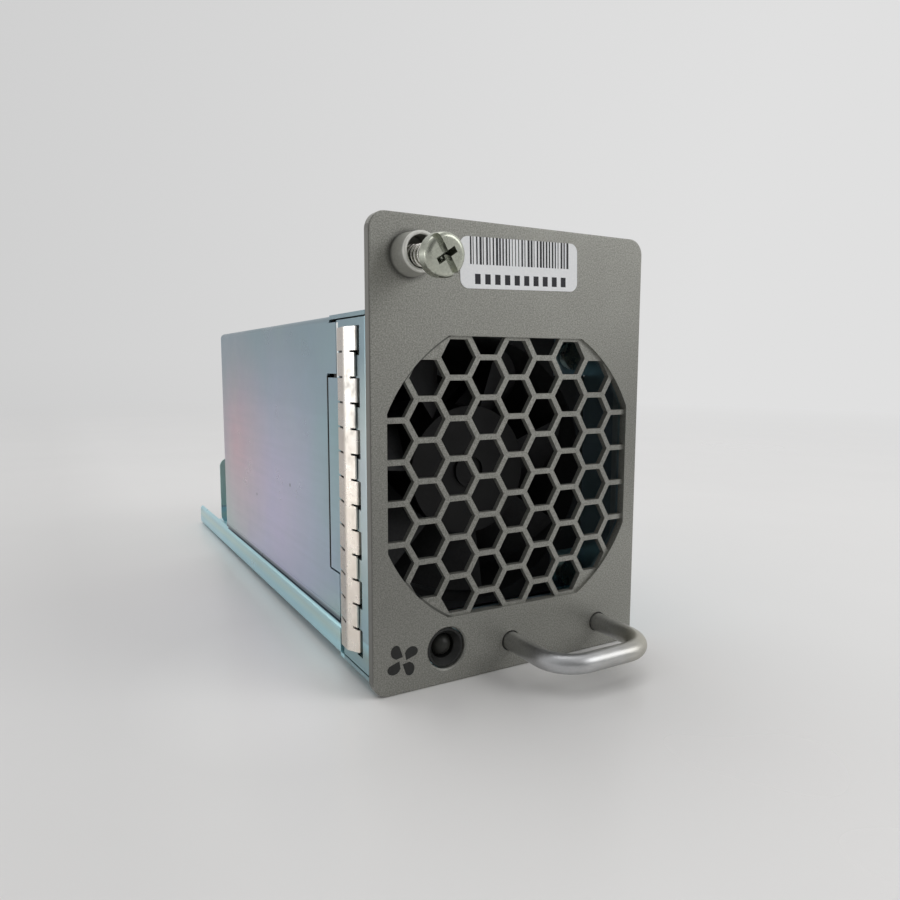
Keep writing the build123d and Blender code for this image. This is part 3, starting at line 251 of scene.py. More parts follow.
class Finish:
    """One procedural material: its shader, and short calls that add nodes to it."""

    def __init__(self, name, metallic=0.0, **sockets):
        self.material = bpy.data.materials.new(name)
        self.material.use_nodes = True
        self.tree = self.material.node_tree
        self.shader = self.tree.nodes["Principled BSDF"]
        self.shader.inputs["Metallic"].default_value = metallic
        for socket, value in sockets.items():
            self.shader.inputs[socket.replace("_", " ")].default_value = value
        self.place = self.add("ShaderNodeTexCoord").outputs["Object"]

    def add(self, kind, **settings):
        """A new node with some of its settings."""
        node = self.tree.nodes.new(kind)
        for key, value in settings.items():
            setattr(node, key, value)
        return node

    def plug(self, socket, value):
        """Sets a socket to a number or colour, or links another socket to it."""
        if isinstance(value, bpy.types.NodeSocket):
            self.tree.links.new(value, socket)
        else:
            socket.default_value = value

    def stretched(self, stretch):
        """The object's coordinates, scaled by axis."""
        mapping = self.add("ShaderNodeMapping")
        self.plug(mapping.inputs["Vector"], self.place)
        mapping.inputs["Scale"].default_value = stretch
        return mapping.outputs["Vector"]

    def noise(self, size, detail=3.0, stretch=None, roughness=0.5):
        """Soft noise whose blobs are about size millimetres across."""
        node = self.add("ShaderNodeTexNoise")
        self.plug(node.inputs["Vector"], self.stretched(stretch) if stretch else self.place)
        node.inputs["Scale"].default_value = 1 / (size * MM)
        node.inputs["Detail"].default_value = detail
        node.inputs["Roughness"].default_value = roughness
        return node.outputs["Fac"]

    def axis(self, letter):
        """One of the object's coordinates, in metres."""
        node = self.add("ShaderNodeSeparateXYZ")
        self.plug(node.inputs["Vector"], self.place)
        return node.outputs[letter]

    def math(self, operation, first, second=0.0):
        """The result of a math node on one or two values."""
        node = self.add("ShaderNodeMath", operation=operation)
        self.plug(node.inputs[0], first)
        self.plug(node.inputs[1], second)
        return node.outputs["Value"]

    def product(self, first, *others):
        """Several masks or shares, multiplied."""
        for other in others:
            first = self.math("MULTIPLY", first, other)
        return first

    def spread(self, value, low, high, to_low=0.0, to_high=1.0):
        """A value, mapped from one range to another and clamped."""
        node = self.add("ShaderNodeMapRange")
        self.plug(node.inputs["Value"], value)
        node.inputs["From Min"].default_value = low
        node.inputs["From Max"].default_value = high
        node.inputs["To Min"].default_value = to_low
        node.inputs["To Max"].default_value = to_high
        return node.outputs["Result"]

    def fade(self, letter, places, first=0.0, last=1.0):
        """A value that runs from first to last between two coordinates, in millimetres."""
        start, end = places
        return self.spread(self.axis(letter), start * MM, end * MM, first, last)

    def ramp(self, value, *stops):
        """A colour ramp through (position, colour) stops."""
        node = self.add("ShaderNodeValToRGB")
        self.plug(node.inputs["Fac"], value)
        elements = node.color_ramp.elements
        while len(elements) < len(stops):
            elements.new(1.0)
        for element, (position, colour) in zip(elements, stops):
            element.position = position
            element.color = colour
        return node.outputs["Color"]

    def tones(self, noise, dark, light):
        """A noise between two display colours."""
        return self.ramp(noise, (NOISE_LOW, srgb(*dark)), (NOISE_HIGH, srgb(*light)))

    def mix(self, share, first, second, blend="MIX"):
        """The first colour with a share of the second over it."""
        node = self.add("ShaderNodeMix", data_type="RGBA", blend_type=blend)
        self.plug(node.inputs[MIX_SHARE], share)
        self.plug(node.inputs[MIX_FIRST], first)
        self.plug(node.inputs[MIX_SECOND], second)
        return node.outputs[MIX_RESULT]

    def near(self, centre, reach, soft):
        """One inside a ball around a point, zero outside, with a soft edge, in millimetres."""
        node = self.add("ShaderNodeVectorMath", operation="DISTANCE")
        self.plug(node.inputs[0], self.place)
        node.inputs[1].default_value = [value * MM for value in centre]
        return self.spread(node.outputs["Value"], (reach - soft) * MM, reach * MM, 1.0, 0.0)

    def beyond(self, letter, place):
        """One past a coordinate, in millimetres, and zero before it."""
        return self.math("GREATER_THAN", self.axis(letter), place * MM)

    def between(self, value, low, high):
        """One where a length lies between two others, in millimetres, and zero elsewhere."""
        above = self.math("GREATER_THAN", value, low * MM)
        below = self.math("LESS_THAN", value, high * MM)
        return self.product(above, below)

    def inside(self, letter, places):
        """One between two coordinates, in millimetres, and zero elsewhere."""
        return self.between(self.axis(letter), *places)

    def ring(self, middle, low, high):
        """One between two distances from the line along Y through a point, in millimetres."""
        across = self.math("SUBTRACT", self.axis("X"), middle[0] * MM)
        upward = self.math("SUBTRACT", self.axis("Z"), middle[2] * MM)
        squares = [self.product(part, part) for part in (across, upward)]
        return self.between(self.math("SQRT", self.math("ADD", *squares)), low, high)

    def colour(self, value):
        """Sets the base colour."""
        self.plug(self.shader.inputs["Base Color"], value)

    def gloss(self, noise, low, high):
        """Roughness that follows a noise between two values."""
        roughness = self.spread(noise, NOISE_LOW, NOISE_HIGH, low, high)
        self.plug(self.shader.inputs["Roughness"], roughness)

    def bump(self, height, strength, depth):
        """Surface relief, its depth in millimetres."""
        node = self.add("ShaderNodeBump")
        node.inputs["Strength"].default_value = strength
        node.inputs["Distance"].default_value = depth * MM
        self.plug(node.inputs["Height"], height)
        self.plug(self.shader.inputs["Normal"], node.outputs["Normal"])


def panel_paint():
    """Silver-taupe metallic paint with fine flakes, a slight orange peel and painted shade."""
    finish = Finish("panel_paint", metallic=0.45)
    flakes = finish.noise(0.26, detail=2.0, roughness=0.7)
    clouds = finish.noise(14.0, detail=3.0)
    flake_colour = finish.ramp(flakes, (0.34, srgb(126, 126, 120)), (0.68, srgb(170, 170, 163)))
    clouded = finish.spread(clouds, NOISE_LOW, NOISE_HIGH, 0.0, 0.10)
    tint = finish.mix(clouded, flake_colour, srgb(120, 119, 113))
    # Painted shade: the panel darkened in soft balls towards its left and right
    for x, z, reach, light in PANEL_PAINTED_SHADE:
        tone = finish.near((x, PANEL_FRONT_Y, z), reach, reach)
        tint = finish.mix(tone, tint, (light, light, light, 1.0), "MULTIPLY")
    # Painted shade on the panel's left edge face
    tint = finish.mix(finish.inside("X", PANEL_SHADED_EDGE_X), tint, srgb(112, 111, 106))
    foot = (FERRULE_MIDDLE[0], PANEL_FRONT_Y, FERRULE_MIDDLE[2])
    shade = finish.near(foot, FERRULE_SHADE, FERRULE_SHADE_SOFT)
    tint = finish.mix(finish.product(shade, 0.7), tint, srgb(72, 72, 68))
    rim = finish.product(
        finish.ring(SCREEN_MIDDLE, OPENING_RADIUS - OPENING_SHADE, OPENING_RADIUS),
        finish.math("LESS_THAN", finish.axis("X"), 0.0),
        finish.beyond("Y", SCREEN_FRONT_Y - TOUCH),
    )
    tint = finish.mix(rim, tint, srgb(92, 92, 88))
    finish.colour(tint)
    finish.gloss(clouds, 0.40, 0.50)
    finish.bump(flakes, 0.08, 0.04)
    return finish.material


def zinc_sheet():
    """Passivated zinc sheet: teal with blue, violet and pink bloom, faint rolling lines and specks."""
    finish = Finish("zinc_sheet")
    clouds = finish.noise(38.0, detail=2.0)
    tint = finish.ramp(
        clouds,
        (0.36, srgb(156, 190, 196)),
        (0.50, srgb(166, 190, 204)),
        (0.64, srgb(170, 200, 198)),
    )

    # Bloom on the wall, the paler lip below it, and a painted highlight along the lip
    wall = finish.fade("Z", WALL_FOOT_Z)
    violet = finish.product(finish.near(*VIOLET_BLOOM), wall, 0.85)
    tint = finish.mix(violet, tint, srgb(204, 196, 226))
    pink = finish.product(finish.near(*PINK_BLOOM), wall, 0.85)
    tint = finish.mix(pink, tint, srgb(222, 182, 194))
    lip = finish.product(finish.math("SUBTRACT", 1.0, wall), 0.8)
    tint = finish.mix(lip, tint, srgb(186, 232, 242))
    # Painted highlight: a paler streak along the middle of the lip
    lip_highlight = finish.product(
        finish.fade("Z", LIP_HIGHLIGHT_RISE_Z, 0.0, 0.6),
        finish.fade("Z", LIP_HIGHLIGHT_FALL_Z, 1.0, 0.0),
    )
    tint = finish.mix(lip_highlight, tint, srgb(204, 226, 214))
    tint = finish.mix(finish.fade("Z", WALL_SHADE_Z, 0.0, 0.55), tint, srgb(146, 170, 184))
    tint = finish.mix(finish.fade("Z", WALL_DARKER_Z), tint, WALL_DARKER, "MULTIPLY")
    rolling = finish.noise(1.6, detail=3.0, stretch=(1.0, 0.05, 1.0))
    tint = finish.mix(finish.spread(rolling, 0.35, 0.75, 0.0, 0.14), tint, srgb(126, 146, 154))

    # Painted shade in the seam between cover and lip, painted light on the connector's plate, and painted
    # shade in the groove along the cover
    # Painted shade: the cover's skirts, seen through the gap above the lip, painted nearly black
    seam_shade = finish.product(finish.inside("Z", SEAM_Z), finish.inside("Y", SEAM_Y))
    for side in (-1, 1):
        skirt = finish.inside("X", sorted(side * x for x in SKIRT_X))
        tint = finish.mix(finish.product(skirt, seam_shade), tint, srgb(20, 22, 24))
    # Painted light: the connector's plate behind the cover painted paler where it stands in shade
    plate = finish.product(finish.beyond("Y", PLATE_FROM_Y), finish.beyond("Z", PLATE_FROM_Z))
    tint = finish.mix(plate, tint, srgb(196, 222, 216))
    # Painted shade: a dark band along the cover's foot, over the gap above the lip
    groove_shade = finish.product(
        finish.fade("Z", GROOVE_FADE_Z, 0.9, 0.0),
        finish.inside("Z", GROOVE_Z),
        finish.inside("Y", GROOVE_Y),
    )
    tint = finish.mix(groove_shade, tint, srgb(58, 76, 90))

    # Left wall of the frame: painted shade behind the fingers, a painted highlight, painted shade at the
    # foot and in the slit round the tab, painted highlights on the bend and an edge
    left = finish.inside("X", LEFT_WALL_X)
    behind = finish.product(
        left,
        finish.inside("Y", BEHIND_FINGERS_Y),
        finish.inside("Z", BEHIND_FINGERS_Z),
    )
    tint = finish.mix(behind, tint, srgb(24, 24, 24))
    # Painted highlight: the frame's wall between the fingers and the panel, paler at mid height
    wall_highlight = finish.product(
        finish.inside("Y", GLEAM_Y),
        finish.fade("Z", GLEAM_RISE_Z),
        finish.fade("Z", GLEAM_FALL_Z, 1.0, 0.0),
        0.45,
    )
    tint = finish.mix(wall_highlight, tint, srgb(236, 242, 240))
    # Painted shade: the frame's wall darker towards its foot
    foot = finish.product(left, finish.inside("Y", FOOT_SHADE_Y), finish.fade("Z", FOOT_SHADE_FADE_Z, 0.6, 0.0))
    tint = finish.mix(foot, tint, srgb(104, 120, 122))
    # Painted shade: the gap round the cover's tab, painted as a dark slit
    slit_shade = finish.product(left, finish.inside("Y", SLIT_Y), finish.inside("Z", SLIT_Z))
    tint = finish.mix(slit_shade, tint, srgb(30, 36, 38))
    # Painted highlights: bright lines on the frame's front bend and along an edge above the tab
    bend = finish.product(left, finish.inside("Y", BEND_HIGHLIGHT_Y))
    edge = finish.product(left, finish.inside("Y", EDGE_HIGHLIGHT_Y), finish.inside("Z", EDGE_HIGHLIGHT_Z))
    tint = finish.mix(finish.math("MAXIMUM", bend, edge), tint, srgb(240, 244, 243))
    for y, z, size in WALL_SPECKS:
        speck = finish.near((SPECK_X, y, z), size, size * SPECK_SOFT)
        tint = finish.mix(speck, tint, srgb(84, 88, 100))
    finish.colour(tint)
    finish.plug(finish.shader.inputs["Metallic"], finish.fade("Y", REAR_DULL_Y, 0.8, 0.1))
    finish.gloss(finish.noise(9.0, detail=4.0), 0.27, 0.36)
    return finish.material


def finger_alloy():
    """Bright tinned spring alloy with handling stains, and a brown painted shade along its rear slope."""
    finish = Finish("finger_alloy", metallic=1.0)
    stains = finish.noise(4.2, detail=3.0, roughness=0.55)
    tint = finish.ramp(
        stains,
        (0.42, srgb(252, 250, 246)),
        (0.60, srgb(242, 238, 230)),
        (0.76, srgb(186, 182, 176)),
    )
    tint = finish.mix(finish.fade("Z", FINGER_WARM_Z, 0.75, 0.0), tint, srgb(248, 236, 222))
    # Painted shade: the rear slope of the fingers turned browner
    slope = finish.fade("Y", FINGER_SLOPE_SHADE_Y, 0.0, 0.75)
    finish.colour(finish.mix(slope, tint, srgb(190, 176, 164)))
    finish.gloss(stains, 0.22, 0.36)
    return finish.material


def handle_aluminium():
    """Satin anodised aluminium rod, drawn lines along it, a painted highlight at one bend and warmer at the
    other.
    """
    finish = Finish("handle_aluminium", metallic=1.0)
    lines = finish.noise(0.35, detail=3.0, stretch=(0.12, 1.0, 1.0))
    tint = finish.tones(lines, (172, 172, 171), (194, 194, 192))
    low, high = (Vector(corner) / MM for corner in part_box("pull_handle"))
    front = low.y + HANDLE_BEND
    middle = (low.z + high.z) / 2
    # Painted highlight at the handle's left bend
    pale = finish.near((low.x + HANDLE_BEND, front, middle), HANDLE_GLOW, HANDLE_GLOW_SOFT)
    tint = finish.mix(finish.product(pale, 0.6), tint, srgb(210, 212, 216))
    warm = finish.near((high.x - HANDLE_BEND, front, middle), HANDLE_GLOW, HANDLE_GLOW_SOFT)
    finish.colour(finish.mix(finish.product(warm, 0.8), tint, srgb(182, 178, 162)))
    finish.gloss(lines, 0.34, 0.44)
    finish.bump(lines, 0.07, 0.02)
    return finish.material


def nickel(name, dark, light, low, high):
    """Nickel plate with fine turning marks, and painted light: a flat tone in the captive screw's recess
    that lifts its shade.
    """
    finish = Finish(name, metallic=1.0)
    marks = finish.noise(0.4, detail=3.0, stretch=(1.0, 0.4, 1.0))
    tint = finish.tones(marks, dark, light)
    axis = Vector(joint("screw_turn")["axis"]).normalized()
    pivot = Vector(joint("screw_tilt")["pos_m"]) / MM
    face = along_axis("captive_screw", pivot, axis)[0]
    front = axis.dot(pivot) + face
    depth = finish.add("ShaderNodeVectorMath", operation="DOT_PRODUCT")
    finish.plug(depth.inputs[0], finish.place)
    depth.inputs[1].default_value = axis
    # Painted light: a flat tone in the captive screw's deep recess, in place of its shade
    sunk = finish.spread(
        depth.outputs["Value"],
        (front + RECESS_START) * MM,
        (front + 2 * RECESS_START) * MM,
    )
    inner = finish.near(pivot + axis * face, RECESS_REACH, RECESS_SOFT)
    finish.colour(finish.mix(finish.product(sunk, inner), tint, srgb(180, 183, 174)))
    finish.gloss(finish.noise(1.8, detail=3.0), low, high)
    finish.bump(marks, 0.05, 0.02)
    return finish.material


def ferrule_plate():
    """Matte plating like the panel's paint, painted shade at its base, and a bright front rim that is
    partly polished metal and partly painted highlight.
    """
    finish = Finish("ferrule_nickel", metallic=0.45)
    grains = finish.noise(0.4, detail=3.0)
    tint = finish.tones(grains, (158, 158, 151), (174, 174, 167))
    # Painted shade at the ferrule's base
    tint = finish.mix(finish.fade("Y", FERRULE_BASE_SHADE_Y), tint, srgb(104, 104, 99))
    # Bright front rim: polished metal with a painted highlight over it
    rim = finish.fade("Y", FERRULE_RIM_Y, 1.0, 0.0)
    finish.colour(finish.mix(rim, tint, srgb(226, 226, 220)))
    finish.gloss(grains, 0.44, 0.56)
    finish.bump(grains, 0.05, 0.02)
    return finish.material


def label_stock():
    """White paper label with plain bars and a row of plain blocks that stand for nothing."""
    finish = Finish("label_stock", Specular_IOR_Level=0.35)
    fibres = finish.noise(0.5, detail=4.0)
    paper = finish.tones(fibres, (243, 245, 247), (250, 251, 252))
    middle = [(a + b) / 2 for a, b in zip(*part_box("id_label"))]
    turned = finish.add("ShaderNodeVectorRotate", rotation_type="Y_AXIS")
    finish.plug(turned.inputs["Vector"], finish.place)
    turned.inputs["Center"].default_value = middle
    turned.inputs["Angle"].default_value = math.radians(LABEL_TURN)
    level = finish.add("ShaderNodeVectorMath", operation="SUBTRACT")
    finish.plug(level.inputs[0], turned.outputs["Vector"])
    level.inputs[1].default_value = middle
    finish.place = level.outputs["Vector"]
    step = finish.math("DIVIDE", finish.axis("X"), BAR_STEP * MM)
    chance = finish.add("ShaderNodeTexWhiteNoise", noise_dimensions="1D")
    finish.plug(chance.inputs["W"], finish.math("FLOOR", step))
    width = finish.spread(chance.outputs["Value"], 0.0, 1.0, BAR_THIN, BAR_THICK)
    bars = finish.product(
        finish.math("LESS_THAN", finish.math("FRACT", step), width),
        finish.inside("X", (-BARS_REACH, BARS_REACH)),
        finish.inside("Z", BARS_Z),
    )
    along = finish.math("SUBTRACT", finish.axis("X"), BLOCKS_X[0] * MM)
    place = finish.math("FRACT", finish.math("DIVIDE", along, BLOCK_STEP * MM))
    blocks = finish.product(
        finish.math("LESS_THAN", place, BLOCK_SHARE),
        finish.inside("X", BLOCKS_X),
        finish.inside("Z", BLOCKS_Z),
    )
    finish.colour(finish.mix(finish.math("MAXIMUM", bars, blocks), paper, srgb(34, 34, 40)))
    finish.gloss(fibres, 0.42, 0.52)
    finish.bump(fibres, 0.04, 0.02)
    return finish.material


def moulded(name, dark, light, low, high):
    """Moulded plastic with a fine tooled grain."""
    finish = Finish(name, Specular_IOR_Level=0.4)
    pores = finish.noise(0.6, detail=3.0)
    finish.colour(finish.tones(pores, dark, light))
    finish.gloss(finish.noise(6.0, detail=3.0), low, high)
    finish.bump(pores, 0.08, 0.04)
    return finish.material


def impeller_plastic():
    """Black moulded plastic, with painted light on the blades and painted shade on the hub."""
    finish = Finish("impeller_plastic", Specular_IOR_Level=0.34)
    pores = finish.noise(0.6, detail=3.0)
    # Painted light and shade: one plastic, the blades painted paler and the hub darker
    hub = finish.tones(pores, (8, 8, 9), (12, 12, 13))
    blade = finish.tones(pores, (60, 60, 61), (70, 70, 71))
    middle = [value / MM for value in joint("front_fan_spin")["pos_m"]]
    finish.colour(finish.mix(finish.ring(middle, HUB_REACH, BLADE_REACH), hub, blade))
    finish.gloss(finish.noise(6.0, detail=3.0), 0.46, 0.58)
    finish.bump(pores, 0.08, 0.04)
    return finish.material


def lamp_lens():
    """Unlit diffusing lens of the status lamp."""
    finish = Finish("lamp_lens", Transmission_Weight=0.15, Specular_IOR_Level=0.22)
    haze = finish.noise(0.8, detail=2.0)
    finish.colour(finish.tones(haze, (44, 45, 42), (54, 55, 51)))
    finish.gloss(haze, 0.36, 0.46)
    return finish.material


def bare_metal(name, dark, light, low, high, grain=1.2):
    """Plain machined or stamped metal."""
    finish = Finish(name, metallic=1.0)
    grains = finish.noise(grain, detail=4.0)
    finish.colour(finish.tones(grains, dark, light))
    finish.gloss(grains, low, high)
    finish.bump(grains, 0.06, 0.03)
    return finish.material


def copper_wire():
    """Enamelled winding wire, its turns as fine ridges along the coil."""
    finish = Finish("coil_copper", metallic=1.0)
    wave = finish.add("ShaderNodeTexWave", wave_type="BANDS", bands_direction="Y")
    finish.plug(wave.inputs["Vector"], finish.place)
    wave.inputs["Scale"].default_value = COIL_RIDGES
    wave.inputs["Distortion"].default_value = COIL_WAVER
    turns = wave.outputs["Fac"]
    finish.colour(finish.ramp(turns, (0.2, srgb(120, 62, 36)), (0.8, srgb(190, 112, 70))))
    finish.gloss(finish.noise(1.0), 0.28, 0.40)
    finish.bump(turns, 0.35, 0.08)
    return finish.material


def floor_sheet():
    """Pale seamless studio sheet, slightly glossy, with painted light beside the tray and painted shade to
    the left, which fades to the pale backdrop far away.
    """
    finish = Finish("floor_sheet", Specular_IOR_Level=0.35)
    clouds = finish.noise(160.0, detail=3.0)
    tint = finish.tones(clouds, (233, 232, 231), (237, 236, 235))
    # Painted light on the floor beside the tray
    tint = finish.mix(finish.near(*FLOOR_PAINTED_LIGHT), tint, FLOOR_LIGHT_GAIN, "MULTIPLY")
    # Painted shade on the floor farther to the left
    floor_shade = finish.fade("X", FLOOR_SHADE_X, 1.0, 0.0)
    finish.colour(finish.mix(floor_shade, tint, FLOOR_SHADE_GAIN, "MULTIPLY"))
    finish.gloss(clouds, 0.22, 0.28)
    distance = finish.add("ShaderNodeVectorMath", operation="LENGTH")
    finish.plug(distance.inputs[0], finish.place)
    far = finish.spread(distance.outputs["Value"], FADE_START, FADE_END)
    path = finish.add("ShaderNodeLightPath").outputs
    seen = finish.math("MAXIMUM", path["Is Camera Ray"], path["Is Glossy Ray"])
    seen = finish.math("MAXIMUM", seen, path["Is Transmission Ray"])
    bearing = finish.add("ShaderNodeVectorMath", operation="NORMALIZE")
    finish.plug(bearing.inputs[0], finish.place)
    finish.place = bearing.outputs["Vector"]
    share = finish.spread(finish.axis("X"), PALE_FROM, PALE_TO)
    glow = finish.add("ShaderNodeEmission")
    finish.plug(glow.inputs["Color"], finish.mix(share, PALE_LEFT, PALE_RIGHT))
    blend = finish.add("ShaderNodeMixShader")
    finish.plug(blend.inputs[0], finish.product(far, seen))
    finish.plug(blend.inputs[1], finish.shader.outputs["BSDF"])
    finish.plug(blend.inputs[2], glow.outputs["Emission"])
    finish.plug(finish.tree.nodes["Material Output"].inputs["Surface"], blend.outputs["Shader"])
    return finish.material


FINISHES = {
    "panel_paint": panel_paint(),
    "zinc_sheet": zinc_sheet(),
    "finger_alloy": finger_alloy(),
    "handle_aluminium": handle_aluminium(),
    "ferrule_nickel": ferrule_plate(),
    "screw_nickel": nickel("screw_nickel", (172, 175, 163), (192, 195, 182), 0.24, 0.34),
    "spring_steel": nickel("spring_steel", (206, 204, 196), (230, 228, 222), 0.20, 0.32),
    "label_stock": label_stock(),
    "black_plastic": moulded("black_plastic", (26, 27, 26), (36, 37, 35), 0.36, 0.48),
    "lamp_lens": lamp_lens(),
    "fan_plastic": moulded("fan_plastic", (34, 34, 35), (42, 42, 43), 0.44, 0.56),
    "impeller_plastic": impeller_plastic(),
    "rotor_steel": bare_metal("rotor_steel", (66, 67, 68), (88, 89, 90), 0.36, 0.48),
    "magnet_ferrite": moulded("magnet_ferrite", (40, 38, 37), (58, 55, 53), 0.55, 0.7),
    "stator_steel": bare_metal("stator_steel", (112, 114, 118), (138, 140, 143), 0.36, 0.5, 0.5),
    "coil_copper": copper_wire(),
    "board_green": moulded("board_green", (18, 66, 44), (26, 84, 56), 0.30, 0.42),
    "contact_gold": bare_metal("contact_gold", (198, 160, 84), (220, 184, 108), 0.20, 0.30, 0.8),
}


def dress_nodes():
    """Gives every node the finish of the record's slot that its own material is named for."""
    for node in frame["nodes"].values():
        for slot in node.material_slots:
            slot.material = FINISHES[slot.material.name.split(".")[0]]


def add_mesh(name, vertices, faces, finish, smooth=False):
    """A mesh object in the scene, from coordinates in millimetres."""
    mesh = bpy.data.meshes.new(name)
    mesh.from_pydata([[value * MM for value in vertex] for vertex in vertices], [], faces)
    mesh.validate()
    mesh.update()
    mesh.materials.append(finish)
    for polygon in mesh.polygons:
        polygon.use_smooth = smooth
    obj = bpy.data.objects.new(name, mesh)
    bpy.context.scene.collection.objects.link(obj)
    return obj


def tube(path, radius, sides):
    """Vertices and faces of a round wire along a path of points, capped at both ends."""
    vertices = []
    faces = []
    last = len(path) - 1
    for i, point in enumerate(path):
        forward = (path[min(i + 1, last)] - path[max(i - 1, 0)]).normalized()
        side = forward.orthogonal().normalized()
        if i:
            side = (side_before - forward * side_before.dot(forward)).normalized()
        side_before = side
        other = forward.cross(side)
        for k in range(sides):
            angle = 2 * math.pi * k / sides
            vertices.append(point + radius * (math.cos(angle) * side + math.sin(angle) * other))
    for i in range(last):
        for k in range(sides):
            a = i * sides + k
            b = i * sides + (k + 1) % sides
            faces.append((a, b, b + sides, a + sides))
    faces.append(tuple(reversed(range(sides))))
    faces.append(tuple(range(last * sides, (last + 1) * sides)))
    return vertices, faces


def helix(base, axis, radius, length, turns, steps):
    """Points of a helix that starts at base and runs along the axis."""
    side = axis.orthogonal().normalized()
    other = axis.cross(side)
    points = []
    for i in range(int(turns * steps) + 1):
        share = i / (turns * steps)
        angle = 2 * math.pi * turns * share
        outward = math.cos(angle) * side + math.sin(angle) * other
        points.append(base + axis * (length * share) + radius * outward)
    return points


def add_pictogram():
    """A plain fan sign in ink beside the status lamp: curved blades around an open middle."""
    reach = SIGN_SIZE / 2
    vertices = []
    faces = []
    for blade in range(SIGN_BLADES):
        turn = 2 * math.pi * blade / SIGN_BLADES
        points = []
        for i in range(SIGN_STEPS + 1):
            share = i / SIGN_STEPS
            angle = turn + math.radians(SIGN_START + SIGN_SWEEP * share)
            arch = math.sin(math.pi * share ** SIGN_SKEW) ** SIGN_ROUND
            out = reach * (SIGN_WAIST + (1 - SIGN_WAIST) * arch)
            points.append((out * math.cos(angle), out * math.sin(angle)))
        points.append((SIGN_ROOT * reach * math.cos(turn), SIGN_ROOT * reach * math.sin(turn)))
        start = len(vertices)
        count = len(points)
        for depth in (PANEL_FRONT_Y - INK_THICK, PANEL_FRONT_Y):
            for x, z in points:
                vertices.append((SIGN_X + x, depth, SIGN_Z + z))
        faces.append(tuple(range(start, start + count)))
        for i in range(count):
            j = (i + 1) % count
            faces.append((start + i, start + count + i, start + count + j, start + j))
    sign = add_mesh("lamp_pictogram", vertices, faces, FINISHES["black_plastic"])
    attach(sign, "chassis")


def add_spring():
    """The captive screw's spring as a wire coil."""
    axis = Vector(joint("screw_push")["axis"]).normalized()
    pivot = Vector(joint("screw_tilt")["pos_m"]) / MM
    front, rear = along_axis("captive_spring", pivot, axis)
    length = rear - front - SPRING_WIRE
    base = pivot + axis * (front + SPRING_WIRE / 2)
    path = helix(base, axis, SPRING_RADIUS, length, SPRING_TURNS, SPRING_STEPS)
    wire = tube(path, SPRING_WIRE / 2, WIRE_SIDES)
    coil = add_mesh("spring_coil", *wire, FINISHES["spring_steel"], True)
    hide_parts("captive_spring")
    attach(coil, "screw_tilter")
    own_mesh(coil)


def add_mouth():
    """The ferrule's mouth, its edge rolled inwards round the spring."""
    x, _, z = FERRULE_MIDDLE
    radius = MOUTH_RADIUS + MOUTH_ROUND
    vertices = []
    faces = []
    for i in range(MOUTH_STEPS):
        turn = 2 * math.pi * i / MOUTH_STEPS
        for k in range(WIRE_SIDES):
            angle = 2 * math.pi * k / WIRE_SIDES
            out = radius + MOUTH_ROUND * math.cos(angle)
            y = FERRULE_FRONT_Y + MOUTH_ROUND * (1 + math.sin(angle))
            vertices.append((x + out * math.cos(turn), y, z + out * math.sin(turn)))
            a = i * WIRE_SIDES + k
            b = i * WIRE_SIDES + (k + 1) % WIRE_SIDES
            ahead = [(value + WIRE_SIDES) % (MOUTH_STEPS * WIRE_SIDES) for value in (a, b)]
            faces.append((a, b, ahead[1], ahead[0]))
    mouth = add_mesh("ferrule_mouth", vertices, faces, FINISHES["ferrule_nickel"], True)
    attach(mouth, "chassis")


def add_hems():
    """The cover's two lower edges, each with a fine hem along it."""
    low, high = (Vector(corner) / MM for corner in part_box("fan_cover"))
    for name, side in (("left", -1), ("right", 1)):
        vertices = []
        for x in (high.x - HEM_DEPTH, high.x + HEM_STAND):
            for y in (low.y, high.y):
                for z in (COVER_FOOT, COVER_FOOT + HEM_HEIGHT):
                    vertices.append((side * x, y, z))
        faces = [(0, 1, 3, 2), (4, 6, 7, 5), (0, 4, 5, 1), (2, 3, 7, 6), (0, 2, 6, 4), (1, 5, 7, 3)]
        if side < 0:
            faces = [tuple(reversed(face)) for face in faces]
        hem = add_mesh(f"cover_hem_{name}", vertices, faces, FINISHES["zinc_sheet"])
        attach(hem, "chassis")


def add_thread():
    """The screw's thread as a fine ridge, on the tail behind the panel."""
    axis = Vector(joint("screw_turn")["axis"]).normalized()
    pivot = Vector(joint("screw_tilt")["pos_m"]) / MM
    reach = along_axis("captive_screw", pivot, axis)[1]
    start = along_axis("captive_retainer", pivot, axis)[1] + THREAD_PITCH
    radius = SCREW_THREAD / 2 - THREAD_RIDGE / 2
    length = reach - start - 2 * THREAD_PITCH
    turns = length / THREAD_PITCH
    path = helix(pivot + axis * start, axis, radius, length, turns, THREAD_STEPS)
    wire = tube(path, THREAD_RIDGE, WIRE_SIDES)
    ridge = add_mesh("screw_thread", *wire, FINISHES["screw_nickel"], True)
    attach(ridge, "screw")


def add_camera():
    """The photograph's view."""
    data = bpy.data.cameras.new("photo_camera")
    data.sensor_fit = "HORIZONTAL"
    data.sensor_width = SENSOR
    data.lens = SENSOR * FOCAL_PIXELS / IMAGE_PIXELS
    data.clip_start = CLIP_START
    camera = bpy.data.objects.new("photo_camera", data)
    eye = Vector(EYE) * MM
    look = (Vector(AIM) * MM - eye).to_track_quat("-Z", "Y")
    camera.rotation_mode = "QUATERNION"
    camera.location = eye
    camera.rotation_quaternion = look @ Quaternion((0, 0, 1), math.radians(ROLL))
    bpy.context.scene.collection.objects.link(camera)
    bpy.context.scene.camera = camera


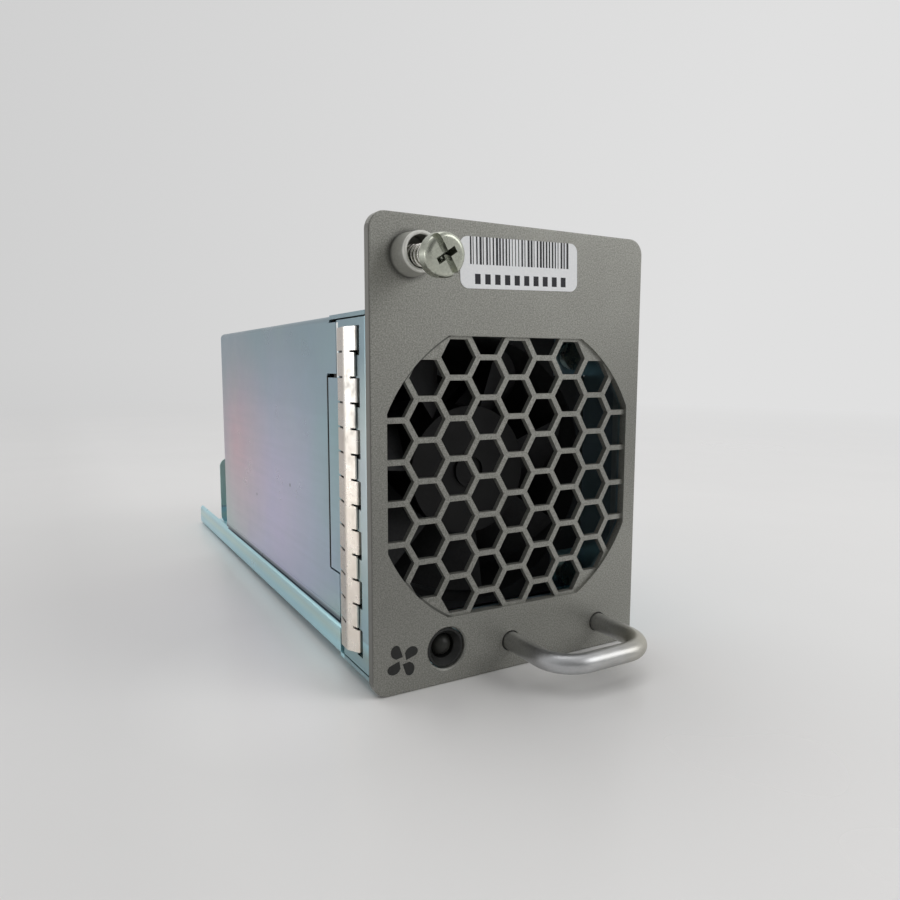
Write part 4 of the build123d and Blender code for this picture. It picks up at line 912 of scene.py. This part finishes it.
def add_floor():
    """A wide round sheet that carries the panel's foot and the tray's rear edge."""
    slope = -PANEL_FOOT_Z / TRAY_REAR_Y
    reach = FLOOR_REACH / MM
    vertices = []
    for i in range(FLOOR_SIDES):
        angle = 2 * math.pi * i / FLOOR_SIDES
        y = reach * math.sin(angle)
        vertices.append((reach * math.cos(angle), y, PANEL_FOOT_Z + slope * y))
    floor = add_mesh("studio_floor", vertices, [tuple(range(FLOOR_SIDES))], floor_sheet())


def add_area_light(name, place, aim, size, power):
    """A round soft lamp that the camera doesn't show."""
    data = bpy.data.lights.new(name, "AREA")
    data.shape = "DISK"
    data.size = size
    data.energy = power
    lamp = bpy.data.objects.new(name, data)
    lamp.visible_camera = False
    lamp.location = Vector(place)
    lamp.rotation_mode = "QUATERNION"
    lamp.rotation_quaternion = (Vector(aim) - Vector(place)).to_track_quat("-Z", "Y")
    bpy.context.scene.collection.objects.link(lamp)


def add_studio():
    """Pale surroundings, dimmer towards the eye, with the floor and the soft lamps."""
    world = bpy.data.worlds.new("studio_world")
    bpy.context.scene.world = world
    world.use_nodes = True
    tree = world.node_tree
    direction = tree.nodes.new("ShaderNodeTexCoord")
    parts = tree.nodes.new("ShaderNodeSeparateXYZ")
    ramp = tree.nodes.new("ShaderNodeValToRGB")
    share = tree.nodes.new("ShaderNodeMapRange")
    share.inputs["From Min"].default_value = PALE_FROM
    share.inputs["From Max"].default_value = PALE_TO
    ramp.color_ramp.elements[0].color = PALE_LEFT
    ramp.color_ramp.elements[1].color = PALE_RIGHT
    tree.links.new(direction.outputs["Generated"], parts.inputs["Vector"])
    tree.links.new(parts.outputs["X"], share.inputs["Value"])
    tree.links.new(share.outputs["Result"], ramp.inputs["Fac"])
    front = tree.nodes.new("ShaderNodeVectorMath")
    front.operation = "DOT_PRODUCT"
    front.inputs[1].default_value = Vector(DIM_SIDE).normalized()
    dim = tree.nodes.new("ShaderNodeMapRange")
    dim.inputs["From Min"].default_value = DIM_FROM
    dim.inputs["From Max"].default_value = DIM_TO
    dim.inputs["To Min"].default_value = 1.0
    dim.inputs["To Max"].default_value = DIM_SHARE
    tree.links.new(direction.outputs["Generated"], front.inputs[0])
    tree.links.new(front.outputs["Value"], dim.inputs["Value"])
    tree.links.new(dim.outputs["Result"], tree.nodes["Background"].inputs["Strength"])
    tree.links.new(ramp.outputs["Color"], tree.nodes["Background"].inputs["Color"])
    add_floor()
    for lamp in LAMPS:
        add_area_light(*lamp)


dress_nodes()
add_pictogram()
add_spring()
add_mouth()
add_hems()
add_thread()
add_camera()
add_studio()
bpy.context.scene.view_settings.view_transform = "Standard"
